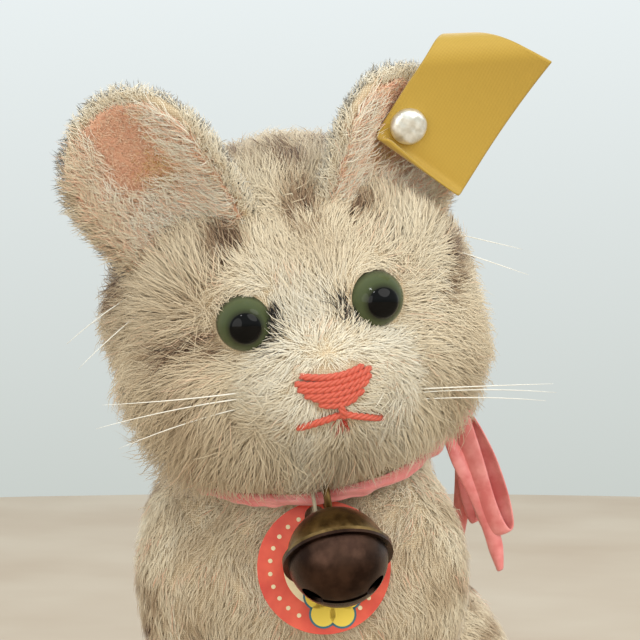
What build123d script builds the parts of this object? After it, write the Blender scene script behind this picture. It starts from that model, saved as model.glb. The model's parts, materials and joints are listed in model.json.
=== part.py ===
from build123d import *
import os
from math import cos, radians, sin, sqrt

# A sitting plush cat, about 10 cm tall. Millimetres, +Z up, the body faces -Y and its left side is +X.
# The origin is on the surface that the cat sits on, under the middle of its seat.

# Driving dimensions
NECK = (0.0, -12.0, 61.0)          # centre of the neck joint
NECK_LEAN = 22.0                   # the neck's axis leans this far forward, degrees
HEAD_TURN = 31.0                   # the head rests turned this far to the cat's left, degrees
COVER = 1.0                        # thickness of the sewn plush cover
NECK_GAP = 0.3                     # each side of the neck plane, so that the head turns freely
CLEAR = 0.3                        # room round a piece that moves beside another
FIT = 0.05                         # room round a piece that is held still

# Head, in its own frame: -Y is the face, +Z is along the neck's axis
SKULL = ((0, -1.5, 15.2), (18.2, 16.5, 16.4))
MUZZLE = ((0, -14.0, 11.8), (9.5, 8.2, 7.2))
JAW = ((0, -9.0, 8.4), (13.5, 10.5, 7.2))
GUSSET_HALF = 5.0                  # half the width of the strip from the nose to the nape
GUSSET_FLOOR = 14.5
EYE_R = 3.0
EYE_AT = {"left": (6.4, -15.1, 19.7), "right": (-7.3, -14.6, 19.8)}
EYE_OUT = 8.0                      # each eye looks this far outwards, degrees
EYE_UP = 10.0
PUPIL_R = 1.7
PUPIL_DEPTH = 1.9                  # from the eye's centre to the back of the pupil
EYE_WIRE_R = 0.3
EYE_LOOP_R = 1.0
EAR_AT = {"left": (11.4, -4.4, 30.9), "right": (-13.2, -4.4, 34.2)}
EAR_OUT = 20.0                     # the open side of each ear faces this far outwards, degrees
EAR_SPLAY = 24.0                   # each ear leans this far to its side, degrees
EAR_W = 15.5
EAR_H = 19.0
EAR_CUP = 40.0                     # radius of the ear's cupped back
EAR_BACK = 1.1
EAR_LINING = 0.7
EAR_HEM = 0.7                      # the lining is this much smaller all round
THREAD_R = 0.35                    # embroidery floss
NOSE_ROWS = 5
NOSE_TOP = 15.4
NOSE_LOW = 12.5
NOSE_TOP_HALF = 3.6
NOSE_LOW_HALF = 2.0
MOUTH_MIDDLE = 10.7
MOUTH_END = (4.7, 9.3)
WHISKER_R = 0.15
WHISKERS = {                       # from the skin to the tip
    "left": [
        ((7.0, -17.2, 9.9), (23.5, -18.0, 7.2)),
        ((7.4, -16.9, 9.2), (24.0, -17.0, 5.6)),
        ((7.0, -16.9, 8.5), (23.0, -16.0, 4.4)),
        ((15.0, -6.0, 20.5), (24.5, -8.0, 15.5)),
        ((15.2, -4.0, 21.5), (25.0, -4.5, 17.0)),
    ],
    "right": [
        ((-6.0, -17.5, 13.2), (-23.5, -18.5, 15.8)),
        ((-6.4, -17.3, 12.4), (-24.5, -17.0, 12.6)),
        ((-6.2, -17.2, 11.6), (-22.5, -16.5, 9.6)),
        ((-15.0, -6.0, 20.5), (-24.5, -8.0, 15.5)),
        ((-15.2, -4.0, 21.5), (-25.0, -4.5, 17.0)),
    ],
}

# Neck joint
DISC_R = 7.5
DISC_T = 2.0
DISC_LIFT = 3.0                    # from the neck plane to the near face of each disc
WASHER_R = 4.0
WASHER_T = 0.5
PIN_R = 1.0
PIN_HOLE = 1.3
PIN_WIRE = 0.5
PIN_EYE_R = 1.5
CURL_R = 1.2                       # rolled ends of the split pin
POCKET_R = 4.4
POCKET_DEPTH = 10.5
THROAT_R = 3.3                     # hole in each cover, drawn shut by its gathering thread
GATHER_R = 2.7
GATHER_THREAD_R = 0.35

# Ear rivet and label
RIVET_R = 1.95
RIVET_DOME = 0.8
RIVET_POST_R = 0.6
RIVET_BACK_R = 1.7
RIVET_BACK_T = 0.5
LABEL_W = 11.5
LABEL_T = 0.3
LABEL_EDGE = 1.3                   # from the rivet to the label's near edge
LABEL_TURN = 18.0                  # the label leans this far out of line with the ear
LABEL_TILT = 6.0                   # and stands this far off the ear's inner side
LABEL_OFF = 1.0
RIVET_RAISE = 4.2                  # the rivet is this far above the ear's middle
LABEL_LIFT_R = 10.0                # the label lifts over the ear's rim, then curls back
LABEL_LIFT = 20.0
LABEL_CURL_R = 5.5
LABEL_CURL = 42.0
LABEL_TAIL_R = 10.0
LABEL_TAIL = 18.0

# Body
HIPS = ((0, 0, 22.0), (21.0, 21.5, 25.0))
CHEST = ((0, -10.5, 44.0), (17.2, 12.0, 17.0))
SHOULDER = ((-11.0, -12.0, 44.0), (8.5, 9.5, 14.0))     # the stuffing has settled to the right
NAPE = ((0, -4.0, 42.5), (13.5, 13.5, 18.0))
NECK_R = 11.8
NECK_FOOT_R = 12.8
NECK_LENGTH = 9.0
FORELEG_TOP = (8.5, -18.0, 31.0)
FORELEG_FOOT = (8.0, -22.5, 6.0)
FORELEG_TOP_R = 6.0
FORELEG_FOOT_R = 5.0
PAW = ((8.0, -26.0, 5.0), (5.8, 8.0, 5.6))
HAUNCH = ((17.5, -3.0, 15.0), (8.0, 15.5, 15.5))
HIND_FOOT = ((18.0, -17.5, 4.6), (5.6, 10.5, 5.2))
BELLY_HALF = 7.0                   # half the width of the panel under the body
BELLY_TOP = 24.0
BELLY_BACK = 14.0
TAIL_R = 4.2
TAIL_ROUTE = [(0, 16, 7), (7, 27, 5.6), (20, 26, 4.5), (29.5, 14, 4.4), (31, 2, 4.4), (29.5, -8, 4.4)]
TAIL_BEND = 5.5

# Ribbon
RIBBON_RING_R = 15.1
RIBBON_T = 0.5
RIBBON_W = 1.8                     # the collar's width where it is gathered round the neck
RIBBON_DROP = 1.7                  # from the neck plane to the collar's middle
BOW_ANGLE = 117.0                  # round the neck from the front, to the cat's left
BOW_FACING = 22.0                  # the open sides of the loops face this way
KNOT = (3.0, 2.6, 3.6)
BOW_ROOM = 0.9                     # the loops hang this far out from the knot's middle
STRIP_T = 0.35
STRIP_W = 5.0
LOOP_LENGTH = 14.5
LOOP_FAT = 2.8
LOOP_LEAN = 20.0                   # the loops lean this far out from the body
STREAMER_LENGTH = 17.0
LOOP_RISE = 1.0                    # the loops' tops, above the middle of the knot
STREAMER_TOP = -1.3                # the streamers start below the collar

# Bell and tag, both hung from the collar
HANG_ANGLE = 25.0
BELL_LEAN = 57.0                   # from the neck's axis: the bell rests on the tag
BELL_R = 5.3
BELL_WALL = 0.45
FLANGE_R = 5.85
FLANGE_T = 0.35                    # each half has its own rim of this thickness
SHANK_RING_R = 1.9
SHANK_WIRE_R = 0.4
BELL_DROP = 7.4                    # from the collar's middle to the bell's centre
SLOT_W = 0.6
SLOT_END_R = 1.0
SLOT_REACH = 3.3
PELLET_R = 1.3
PELLET_ROOM = 0.1
TAG_R = 7.1
TAG_T = 0.5
TAG_LEAN = 32.0                    # from the neck's axis
TAG_BEHIND = 2.75                  # from the collar's middle back to the middle of the tag
TAG_ASIDE = 1.4                    # the tag hangs this far beside the bell's loop
TAG_HOLE_R = 1.15
TAG_HOLE_DOWN = 1.6                # from the tag's edge to its hole
TAG_HOLE_DROP = 2.9                # from the collar's middle to the tag's hole
TAG_THREAD_R = 0.2
TAG_THREAD_RING_R = 2.2
TAG_THREAD_IN = 0.65               # the thread's ring sits this far in towards the neck

BIG = 200.0
SIDES = {"left": 1, "right": -1}
os.makedirs("parts", exist_ok=True)

neck_at = Pos(*NECK) * Rot(NECK_LEAN, 0, 0)
head_at = neck_at * Rot(0, 0, HEAD_TURN)
hang_at = neck_at * Rot(0, 0, HANG_ANGLE) * Pos(0, -RIBBON_RING_R, -RIBBON_DROP)
bell_at = hang_at * Rot(-BELL_LEAN, 0, 0)
bell_middle = Pos(0, 0, -BELL_DROP)


def save(name, shape):
    """Writes one piece, or a group of like pieces, as its own node."""
    shape.label = name
    export_step(shape, f"parts/{name}.step")


def ellipsoid(centre, radii, inset=0.0):
    """A stuffed form, made smaller all round by inset."""
    return Pos(*centre) * scale(Sphere(1), by=tuple(r - inset for r in radii))


def swapped(point, side):
    """The point itself on the cat's left, and its mirror image on the right."""
    return side * point[0], point[1], point[2]


def rod(start, end, radius):
    """A straight round bar between two points."""
    a, b = Vector(*start), Vector(*end)
    return Plane(origin=a, z_dir=b - a) * Pos(0, 0, (b - a).length / 2) * Cylinder(radius, (b - a).length)


def arc_thread(start, middle, end, radius):
    """A bent thread with rounded ends, through three points."""
    path = ThreePointArc(start, middle, end)
    thread = sweep(Plane(origin=path @ 0, z_dir=path % 0) * Circle(radius), path=path)
    return thread + Pos(*start) * Sphere(radius) + Pos(*end) * Sphere(radius)


def half_space(place, way):
    """Everything above a place when way is 1, or below it when way is -1."""
    return place * Pos(0, 0, way * BIG / 2) * Box(BIG, BIG, BIG)


def upright_disc(radius, low, high):
    """A round plate on the local Z axis, between two heights."""
    return Pos(0, 0, (low + high) / 2) * Cylinder(radius, high - low)


# ---- Body: one stuffed form, its sewn cover in three panels, and the tail ----

def tapered_leg(side, inset):
    """A straight foreleg, rounded at both ends."""
    a, b = Vector(*swapped(FORELEG_TOP, side)), Vector(*swapped(FORELEG_FOOT, side))
    top_r, foot_r = FORELEG_TOP_R - inset, FORELEG_FOOT_R - inset
    leg = Plane(origin=a, z_dir=b - a) * Pos(0, 0, (b - a).length / 2)
    leg *= Cone(top_r, foot_r, (b - a).length)
    return leg + Pos(*a) * Sphere(top_r) + Pos(*b) * Sphere(foot_r)


def body_form(inset):
    """The whole sitting body with its legs, flat where it rests and at the neck."""
    form = ellipsoid(*HIPS, inset)
    for part in (CHEST, SHOULDER, NAPE):
        form += ellipsoid(*part, inset)
    form += neck_at * Pos(0, 0, -NECK_LENGTH / 2) * Cone(NECK_FOOT_R - inset, NECK_R - inset, NECK_LENGTH)
    for side in SIDES.values():
        form += tapered_leg(side, inset)
        for centre, radii in (PAW, HAUNCH, HIND_FOOT):
            form += ellipsoid(swapped(centre, side), radii, inset)
    form -= half_space(Pos(0, 0, inset), -1)
    return form - half_space(neck_at * Pos(0, 0, -NECK_GAP - inset), 1)


def make_body():
    outer = body_form(0.0)
    inner = body_form(COVER)
    throat = neck_at * upright_disc(THROAT_R, -2 * COVER, 0)
    cover = outer - inner - throat
    zone_low, zone_back = -COVER, BELLY_BACK
    zone = Pos(0, (zone_back - BIG) / 2, (zone_low + BELLY_TOP) / 2)
    zone *= Box(2 * BELLY_HALF, zone_back + BIG, BELLY_TOP - zone_low)
    save("belly_panel", cover & zone)
    sides = cover - zone
    for name, side in SIDES.items():
        save(f"body_{name}_panel", sides & (Pos(side * BIG / 2, 0, 0) * Box(BIG, BIG, BIG)))
    disc_room = neck_at * upright_disc(DISC_R, -DISC_LIFT - DISC_T, -DISC_LIFT)
    pocket = neck_at * upright_disc(POCKET_R, -POCKET_DEPTH, 0)
    save("body_stuffing", inner - disc_room - pocket)
    return outer


def tail_tube(radius, form):
    path = FilletPolyline(*TAIL_ROUTE, radius=TAIL_BEND)
    tube = sweep(Plane(origin=path @ 0, z_dir=path % 0) * Circle(radius), path=path)
    return tube + Pos(*TAIL_ROUTE[-1]) * Sphere(radius) - form


def make_tail(form):
    core = tail_tube(TAIL_R - COVER, form)
    save("tail_cover", tail_tube(TAIL_R, form) - core)
    save("tail_core", core)


# ---- Neck joint: a disc and a washer each side of the neck, on one split pin ----

def make_neck_joint():
    hole = Cylinder(PIN_HOLE, BIG)
    for name, way in (("head", 1), ("body", -1)):
        place = head_at if name == "head" else neck_at
        near, far = way * DISC_LIFT, way * (DISC_LIFT + DISC_T)
        outer_face = way * (DISC_LIFT + DISC_T + WASHER_T)
        save(f"{name}_joint_disc", place * (upright_disc(DISC_R, min(near, far), max(near, far)) - hole))
        washer = upright_disc(WASHER_R, min(far, outer_face), max(far, outer_face))
        save(f"{name}_joint_washer", place * (washer - hole))
        ring = Pos(0, 0, way * (NECK_GAP + COVER / 2)) * Torus(GATHER_R, GATHER_THREAD_R)
        save(f"{name}_gather_thread", place * ring)
    stack = DISC_LIFT + DISC_T + WASHER_T
    eye_middle = stack + PIN_EYE_R + PIN_WIRE
    curl_middle = -stack - CLEAR - CURL_R - PIN_WIRE
    pin = upright_disc(PIN_R, curl_middle, eye_middle - PIN_EYE_R)
    pin += Pos(0, 0, eye_middle) * Rot(90, 0, 0) * Torus(PIN_EYE_R, PIN_WIRE)
    for side in SIDES.values():
        curl = Rot(90, 0, 0) * Torus(CURL_R, PIN_WIRE)
        pin += Pos(side * (CURL_R + PIN_WIRE + FIT), 0, curl_middle) * curl
    save("split_pin", head_at * pin)


# ---- Head: stuffed form, three panels, eyes, nose, mouth and whiskers ----

def head_form(inset):
    form = ellipsoid(*SKULL, inset) + ellipsoid(*MUZZLE, inset) + ellipsoid(*JAW, inset)
    return form - half_space(Pos(0, 0, NECK_GAP + inset), -1)


def eye_place(name):
    return Pos(*EYE_AT[name]) * Rot(0, 0, SIDES[name] * EYE_OUT) * Rot(90 - EYE_UP, 0, 0)


def make_head(form):
    inner = head_form(COVER)
    cover = form - inner - upright_disc(THROAT_R, 0, 2 * COVER)
    disc_room = upright_disc(DISC_R, DISC_LIFT, DISC_LIFT + DISC_T)
    stuffing = inner - disc_room - upright_disc(POCKET_R, 0, POCKET_DEPTH)
    for name in SIDES:
        socket = eye_place(name) * Sphere(EYE_R + FIT)
        loop_back = EYE_R + EYE_LOOP_R
        shank_room = Pos(0, 0, -loop_back) * Sphere(EYE_LOOP_R + 2 * EYE_WIRE_R)
        cover -= socket
        stuffing -= socket + eye_place(name) * shank_room
    save("head_stuffing", head_at * stuffing)
    zone = Pos(0, 0, GUSSET_FLOOR + BIG / 2) * Box(2 * GUSSET_HALF, BIG, BIG)
    save("head_gusset", head_at * (cover & zone))
    sides = cover - zone
    for name, side in SIDES.items():
        half = Pos(side * BIG / 2, 0, 0) * Box(BIG, BIG, BIG)
        save(f"head_{name}_panel", head_at * (sides & half))


def make_eyes():
    for name in SIDES:
        place = head_at * eye_place(name)
        ball = Sphere(EYE_R)
        pupil = ball & upright_disc(PUPIL_R, PUPIL_DEPTH, EYE_R)
        save(f"{name}_eye_glass", place * (ball - upright_disc(PUPIL_R, PUPIL_DEPTH, EYE_R)))
        save(f"{name}_eye_pupil", place * pupil)
        loop = Rot(90, 0, 0) * Torus(EYE_LOOP_R, EYE_WIRE_R)
        loop = Pos(0, 0, -EYE_R - EYE_LOOP_R) * loop - ball
        save(f"{name}_eye_wire", place * loop)


def muzzle_front(x, z):
    """The middle of a thread that lies on the front of the muzzle, at this width and height."""
    (_, cy, cz), (rx, ry, rz) = MUZZLE
    y = -ry * sqrt(1 - (x / rx) ** 2 - ((z - cz) / rz) ** 2)
    out = Vector(x / rx ** 2, y / ry ** 2, (z - cz) / rz ** 2).normalized()
    return Vector(x, cy + y, z) + out * (THREAD_R + FIT)


def make_stitches():
    bars = []
    for row in range(NOSE_ROWS):
        share = row / (NOSE_ROWS - 1)
        z = NOSE_TOP + (NOSE_LOW - NOSE_TOP) * share
        half = NOSE_TOP_HALF + (NOSE_LOW_HALF - NOSE_TOP_HALF) * share
        bars.append(arc_thread(*[muzzle_front(x, z) for x in (-half, 0, half)], THREAD_R))
    save("nose_stitches", head_at * Compound(bars))
    middle = muzzle_front(0, MOUTH_MIDDLE)
    mouth = rod(muzzle_front(0, NOSE_LOW - 3 * THREAD_R), middle, THREAD_R)
    for side in SIDES.values():
        x, z = side * MOUTH_END[0], MOUTH_END[1]
        half_way = muzzle_front(x / 2, (z + MOUTH_MIDDLE) / 2)
        mouth += arc_thread(middle, half_way, muzzle_front(x, z), THREAD_R)
    save("mouth_stitches", head_at * mouth)


def make_whiskers(form):
    for name, lines in WHISKERS.items():
        hairs = [rod(start, end, WHISKER_R) - form for start, end in lines]
        save(f"{name}_whiskers", head_at * Compound(hairs))


# ---- Ears, with the rivet and label in the left one ----

def ear_place(name):
    side = SIDES[name]
    return Pos(*EAR_AT[name]) * Rot(0, side * EAR_SPLAY, 0) * Rot(0, 0, side * EAR_OUT)


def cupped_layer(outer_r, thickness, hem):
    """One layer of an ear: an oval cut from a hollow ball, open to the front."""
    oval = Rot(90, 0, 0) * extrude(Ellipse(EAR_W / 2 - hem, EAR_H / 2 - hem), EAR_W, both=True)
    ball = Pos(0, -EAR_CUP, 0) * (Sphere(outer_r) - Sphere(outer_r - thickness))
    back_half = Pos(0, BIG / 2 - EAR_CUP, 0) * Box(BIG, BIG, BIG)
    return ball & oval & back_half


def label_place():
    """On the ear's inner side: local X runs along the label, away from the rivet, and local Z out of it."""
    off = EAR_BACK + EAR_LINING + LABEL_OFF
    return Pos(0, -off, RIVET_RAISE) * Rot(90, 0, 0) * Rot(0, 0, 90 - LABEL_TURN) * Rot(-LABEL_TILT, 0, 0)


def make_label():
    start = Line((-1.0, 0), (2.0, 0))
    lift = JernArc(start @ 1, start % 1, LABEL_LIFT_R, LABEL_LIFT)
    curl = JernArc(lift @ 1, lift % 1, LABEL_CURL_R, -LABEL_CURL)
    foot = JernArc(start @ 0, -(start % 0), LABEL_TAIL_R, -LABEL_TAIL)
    profile = trace(Curve() + [foot, start, lift, curl], LABEL_T)
    strip = Rot(90, 0, 0) * extrude(profile, LABEL_W)
    return Pos(0, LABEL_EDGE, 0) * strip - Cylinder(RIVET_POST_R + 2 * FIT, BIG)


def make_ears(form):
    for name in SIDES:
        place = ear_place(name)
        back = place * cupped_layer(EAR_CUP, EAR_BACK, 0) - form
        lining = place * cupped_layer(EAR_CUP - EAR_BACK, EAR_LINING, EAR_HEM) - form
        if name == "left":
            post_hole = place * Pos(0, 0, RIVET_RAISE) * Rot(90, 0, 0) * Cylinder(RIVET_POST_R, BIG / 4)
            back -= post_hole
            lining -= post_hole
        save(f"{name}_ear_back", head_at * back)
        save(f"{name}_ear_lining", head_at * lining)
    place = head_at * ear_place("left")
    cap_face = EAR_BACK + EAR_LINING + 2 * LABEL_OFF + LABEL_T
    dome_r = (RIVET_R ** 2 + RIVET_DOME ** 2) / (2 * RIVET_DOME)
    dome = Pos(0, 0, cap_face + RIVET_DOME - dome_r) * Sphere(dome_r)
    cap = dome & upright_disc(RIVET_R, cap_face, cap_face + RIVET_DOME)
    cap += upright_disc(RIVET_POST_R, -RIVET_BACK_T / 2, cap_face)
    rivet_at = place * Pos(0, 0, RIVET_RAISE) * Rot(90, 0, 0)
    save("ear_rivet", rivet_at * cap)
    back_plate = upright_disc(RIVET_BACK_R, -RIVET_BACK_T, 0) - Cylinder(RIVET_POST_R, BIG)
    save("rivet_back_plate", rivet_at * back_plate)
    save("ear_label", place * label_place() * make_label())


# ---- Ribbon: collar, knot, two loops and two streamers ----

def make_ribbon():
    low = -RIBBON_DROP - RIBBON_W / 2
    band = upright_disc(RIBBON_RING_R + RIBBON_T / 2, low, low + RIBBON_W)
    band -= Cylinder(RIBBON_RING_R - RIBBON_T / 2, BIG)
    save("ribbon_collar", neck_at * band)
    knot_out = RIBBON_RING_R + RIBBON_T / 2 + KNOT[1] / 2
    knot_at = neck_at * Rot(0, 0, BOW_ANGLE) * Pos(0, -knot_out, -RIBBON_DROP)
    knot = fillet(Box(*KNOT).edges(), min(KNOT) / 3)
    save("ribbon_knot", knot_at * knot)
    bow_at = Pos(knot_at.position) * Rot(0, 0, BOW_FACING) * Pos(BOW_ROOM, 0, 0)
    slot = SlotOverall(LOOP_LENGTH, LOOP_FAT)
    slot -= SlotOverall(LOOP_LENGTH - 2 * STRIP_T, LOOP_FAT - 2 * STRIP_T)
    loop = Rot(90, 0, 0) * Rot(0, 0, 90) * extrude(slot, STRIP_W / 2, both=True)
    streamer = Box(STRIP_T, STRIP_W, STREAMER_LENGTH)
    for name, way in (("front", -1), ("rear", 1)):
        aside = way * (KNOT[0] / 2 + STRIP_W / 2 + CLEAR)
        lean = Pos(0, aside, 0) * Rot(0, -LOOP_LEAN, 0)
        save(f"{name}_bow_loop", bow_at * lean * Pos(0, 0, LOOP_RISE - LOOP_LENGTH / 2) * loop)
        hang = Pos(-LOOP_FAT / 2 - STRIP_T, 0, STREAMER_TOP - STREAMER_LENGTH / 2)
        save(f"{name}_streamer", bow_at * lean * hang * streamer)


# ---- Bell, its pellet, and the tag behind it ----

def bell_half(way):
    """The upper (1) or lower (-1) cup with its turned-out rim."""
    cup = Sphere(BELL_R) - Sphere(BELL_R - BELL_WALL)
    cup += Cylinder(FLANGE_R, 2 * FLANGE_T) - Cylinder(BELL_R - BELL_WALL, 2 * FLANGE_T)
    return cup & half_space(Pos(0, 0, 0), way)


def make_bell():
    place = bell_at * bell_middle
    save("bell_upper_shell", place * bell_half(1))
    lower = bell_half(-1) - Pos(0, 0, -BELL_R) * Box(2 * SLOT_REACH, SLOT_W, BELL_R)
    for side in SIDES.values():
        lower -= Pos(side * SLOT_REACH, 0, -BELL_R) * Cylinder(SLOT_END_R, BELL_R)
    save("bell_lower_shell", place * lower)
    shank = Rot(0, 90, 0) * Torus(SHANK_RING_R, SHANK_WIRE_R)
    foot_low = -BELL_DROP + BELL_R - BELL_WALL / 2
    foot = upright_disc(SHANK_WIRE_R * 2, foot_low, -SHANK_RING_R)
    shank += foot
    save("bell_shank", bell_at * (shank - bell_middle * Sphere(BELL_R)))
    sink = BELL_R - BELL_WALL - PELLET_R - PELLET_ROOM
    save("bell_pellet", place * Pos(0, 0, -sink) * Sphere(PELLET_R))


def make_tag():
    lean = Rot(-TAG_LEAN, 0, 0)
    out_of_face = Vector(0, -cos(radians(TAG_LEAN)), sin(radians(TAG_LEAN)))
    hole_y = (TAG_BEHIND - TAG_HOLE_DROP * out_of_face.Z) / -out_of_face.Y
    hole_at = hang_at * Pos(-TAG_ASIDE, hole_y, -TAG_HOLE_DROP) * lean
    card = Pos(0, 0, TAG_HOLE_DOWN - TAG_R) * Rot(90, 0, 0) * Cylinder(TAG_R, TAG_T)
    card -= Rot(90, 0, 0) * Cylinder(TAG_HOLE_R, BIG / 4)
    save("tag_card", hole_at * card)
    reach = sqrt(TAG_THREAD_RING_R ** 2 - (hole_y - TAG_THREAD_IN) ** 2)
    ring = Rot(0, 90, 0) * Torus(TAG_THREAD_RING_R, TAG_THREAD_R)
    ring = Pos(-TAG_ASIDE, TAG_THREAD_IN, reach - TAG_HOLE_DROP) * ring
    save("tag_thread", hang_at * ring)


body = make_body()
make_tail(body)
make_neck_joint()
head = head_form(0.0)
make_head(head)
make_eyes()
make_stitches()
make_whiskers(head)
make_ears(head)
make_ribbon()
make_bell()
make_tag()
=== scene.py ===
import json
from math import cos, pi, radians, sin

import bpy
import numpy as np
from mathutils import Matrix, Vector
from mathutils.kdtree import KDTree


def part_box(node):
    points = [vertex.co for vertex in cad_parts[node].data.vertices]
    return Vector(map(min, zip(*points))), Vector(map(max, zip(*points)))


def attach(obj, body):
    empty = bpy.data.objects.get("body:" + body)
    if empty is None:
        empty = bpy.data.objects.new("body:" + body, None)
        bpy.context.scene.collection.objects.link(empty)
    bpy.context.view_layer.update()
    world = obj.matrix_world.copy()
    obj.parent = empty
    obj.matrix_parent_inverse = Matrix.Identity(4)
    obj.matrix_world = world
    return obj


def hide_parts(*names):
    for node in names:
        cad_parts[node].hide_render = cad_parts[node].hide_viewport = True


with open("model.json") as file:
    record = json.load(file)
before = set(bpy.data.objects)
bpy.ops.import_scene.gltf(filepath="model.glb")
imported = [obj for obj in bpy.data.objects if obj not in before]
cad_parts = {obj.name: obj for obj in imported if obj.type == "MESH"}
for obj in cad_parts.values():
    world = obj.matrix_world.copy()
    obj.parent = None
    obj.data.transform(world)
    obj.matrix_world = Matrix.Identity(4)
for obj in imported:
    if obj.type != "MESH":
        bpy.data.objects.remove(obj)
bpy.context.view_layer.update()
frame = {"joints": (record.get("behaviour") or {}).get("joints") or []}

# Lengths in this script are millimetres until a mesh is made. MM turns them into metres.
MM = 0.001
UP = np.array((0.0, 0.0, 1.0))
SIDES = {"left": 1, "right": -1}
JOINTS = {joint["name"]: joint for joint in frame["joints"]}


# ---- Places taken from the frame ----

def unit(v):
    """Vectors of length one, for one vector or an array of them."""
    v = np.asarray(v, float)
    return v / np.maximum(np.linalg.norm(v, axis=-1, keepdims=True), 1e-9)


def box_middle(node):
    """The middle of a CAD node's box, in millimetres."""
    low, high = (np.array(corner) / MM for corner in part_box(node))
    return (low + high) / 2


class Place:
    """A frame with its own origin and axes: x and z are given, and y follows."""

    def __init__(self, origin, x_axis, z_axis):
        self.origin = np.asarray(origin, float)
        z = unit(z_axis)
        x = unit(np.asarray(x_axis, float) - np.dot(x_axis, z) * z)
        self.axes = np.array([x, np.cross(z, x), z])

    def out(self, points):
        """Local points to the row frame."""
        return self.origin + np.asarray(points, float) @ self.axes

    def turn(self, vectors):
        """Local directions to the row frame."""
        return np.asarray(vectors, float) @ self.axes

    def inside(self, points):
        """Points in the row frame to local ones."""
        return (np.asarray(points, float) - self.origin) @ self.axes.T

    def moved(self, offset, x_turn=0.0, y_turn=0.0, z_turn=0.0):
        """A place inside this one: an offset, then turns in degrees about its Y, Z and X, in that order."""
        turn = Matrix.Rotation(radians(y_turn), 3, "Y") @ Matrix.Rotation(radians(z_turn), 3, "Z")
        turn = np.array(turn @ Matrix.Rotation(radians(x_turn), 3, "X")).T
        new = Place(self.out(offset), (1, 0, 0), (0, 0, 1))
        new.axes = turn @ self.axes
        return new


NECK = Place(np.array(JOINTS["head_turn"]["pos_m"]) / MM, (1, 0, 0), JOINTS["head_turn"]["axis"])
HEAD_TURN = 31.0                       # the head rests turned this far to the cat's left, degrees
HEAD = NECK.moved((0, 0, 0), z_turn=HEAD_TURN)


# ---- Meshes and materials ----

def srgb(red, green, blue):
    """A colour named by its 0 to 255 screen values, as the linear values that shaders use."""
    share = np.array((red, green, blue)) / 255.0
    linear = np.where(share <= 0.04045, share / 12.92, ((share + 0.055) / 1.055) ** 2.4)
    return (*linear.tolist(), 1.0)


def principled(name, colour, **values):
    """A material with one Principled shader. Values are its socket names with _ for a space."""
    material = bpy.data.materials.new(name)
    material.use_nodes = True
    shader = material.node_tree.nodes["Principled BSDF"]
    shader.inputs["Base Color"].default_value = colour
    for socket, value in values.items():
        shader.inputs[socket.replace("_", " ")].default_value = value
    return material


def noisy(material, dark, pale, size, detail=3.0, low=0.35, high=0.65):
    """Gives a material's colour a soft uneven change between two colours, over about this size."""
    nodes, links = material.node_tree.nodes, material.node_tree.links
    place = nodes.new("ShaderNodeTexCoord")
    noise = nodes.new("ShaderNodeTexNoise")
    noise.inputs["Scale"].default_value = 1 / (size * MM)
    noise.inputs["Detail"].default_value = detail
    colours = nodes.new("ShaderNodeValToRGB")
    colours.color_ramp.elements[0].position = low
    colours.color_ramp.elements[1].position = high
    colours.color_ramp.elements[0].color = dark
    colours.color_ramp.elements[1].color = pale
    links.new(place.outputs["Object"], noise.inputs["Vector"])
    links.new(noise.outputs["Fac"], colours.inputs["Fac"])
    links.new(colours.outputs["Color"], nodes["Principled BSDF"].inputs["Base Color"])
    return noise


def add_bump(material, height, strength, distance):
    """Roughens a material's surface by a height that another node gives."""
    nodes, links = material.node_tree.nodes, material.node_tree.links
    bump = nodes.new("ShaderNodeBump")
    bump.inputs["Strength"].default_value = strength
    bump.inputs["Distance"].default_value = distance * MM
    links.new(height, bump.inputs["Height"])
    links.new(bump.outputs["Normal"], nodes["Principled BSDF"].inputs["Normal"])


def add_piece(mesh, body):
    """A new piece with this mesh and its name. It rides on a body."""
    piece = bpy.data.objects.new(mesh.name, mesh)
    bpy.context.scene.collection.objects.link(piece)
    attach(piece, body)
    return piece


def mesh_piece(name, points, faces, material, body, slot, smooth=True):
    """A new piece from points in millimetres in the row frame."""
    mesh = bpy.data.meshes.new(name)
    mesh.from_pydata([tuple(p) for p in np.asarray(points) * MM], [], faces)
    mesh.shade_smooth() if smooth else mesh.shade_flat()
    mesh.materials.append(material)
    return add_piece(mesh, body)


def grid_faces(rows, columns, closed=False):
    """Faces of a grid of points, row by row. A closed grid joins each row's last point to its first."""
    faces = []
    for row in range(rows - 1):
        for column in range(columns if closed else columns - 1):
            a, b = row * columns + column, row * columns + (column + 1) % columns
            faces.append((a, b, b + columns, a + columns))
    return faces


# ---- Stuffed forms ----

def joined_form(name, balls, material, voxel, rounds, body, slot):
    """One closed skin round many balls, each (place, centre, radii), with soft creases where they meet."""
    points, faces = [], []
    bpy.ops.mesh.primitive_ico_sphere_add(subdivisions=4)
    ball = bpy.context.object
    unit_points = np.array([v.co for v in ball.data.vertices])
    unit_faces = [tuple(p.vertices) for p in ball.data.polygons]
    bpy.data.objects.remove(ball)
    for place, centre, radii in balls:
        start = len(points)
        points.extend(place.out(np.asarray(centre) + unit_points * np.asarray(radii)))
        faces.extend(tuple(i + start for i in face) for face in unit_faces)
    piece = mesh_piece(name, points, faces, material, body, slot)
    remesh = piece.modifiers.new("remesh", "REMESH")
    remesh.mode = "VOXEL"
    remesh.voxel_size = voxel * MM
    smooth = piece.modifiers.new("smooth", "SMOOTH")
    smooth.iterations = rounds
    apply_modifiers(piece)
    return piece


def apply_modifiers(piece):
    """Replaces the piece's mesh with the one that its modifiers give."""
    bpy.context.view_layer.update()
    graph = bpy.context.evaluated_depsgraph_get()
    mesh = bpy.data.meshes.new_from_object(piece.evaluated_get(graph))
    mesh.shade_smooth()
    piece.modifiers.clear()
    piece.data = mesh


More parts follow.
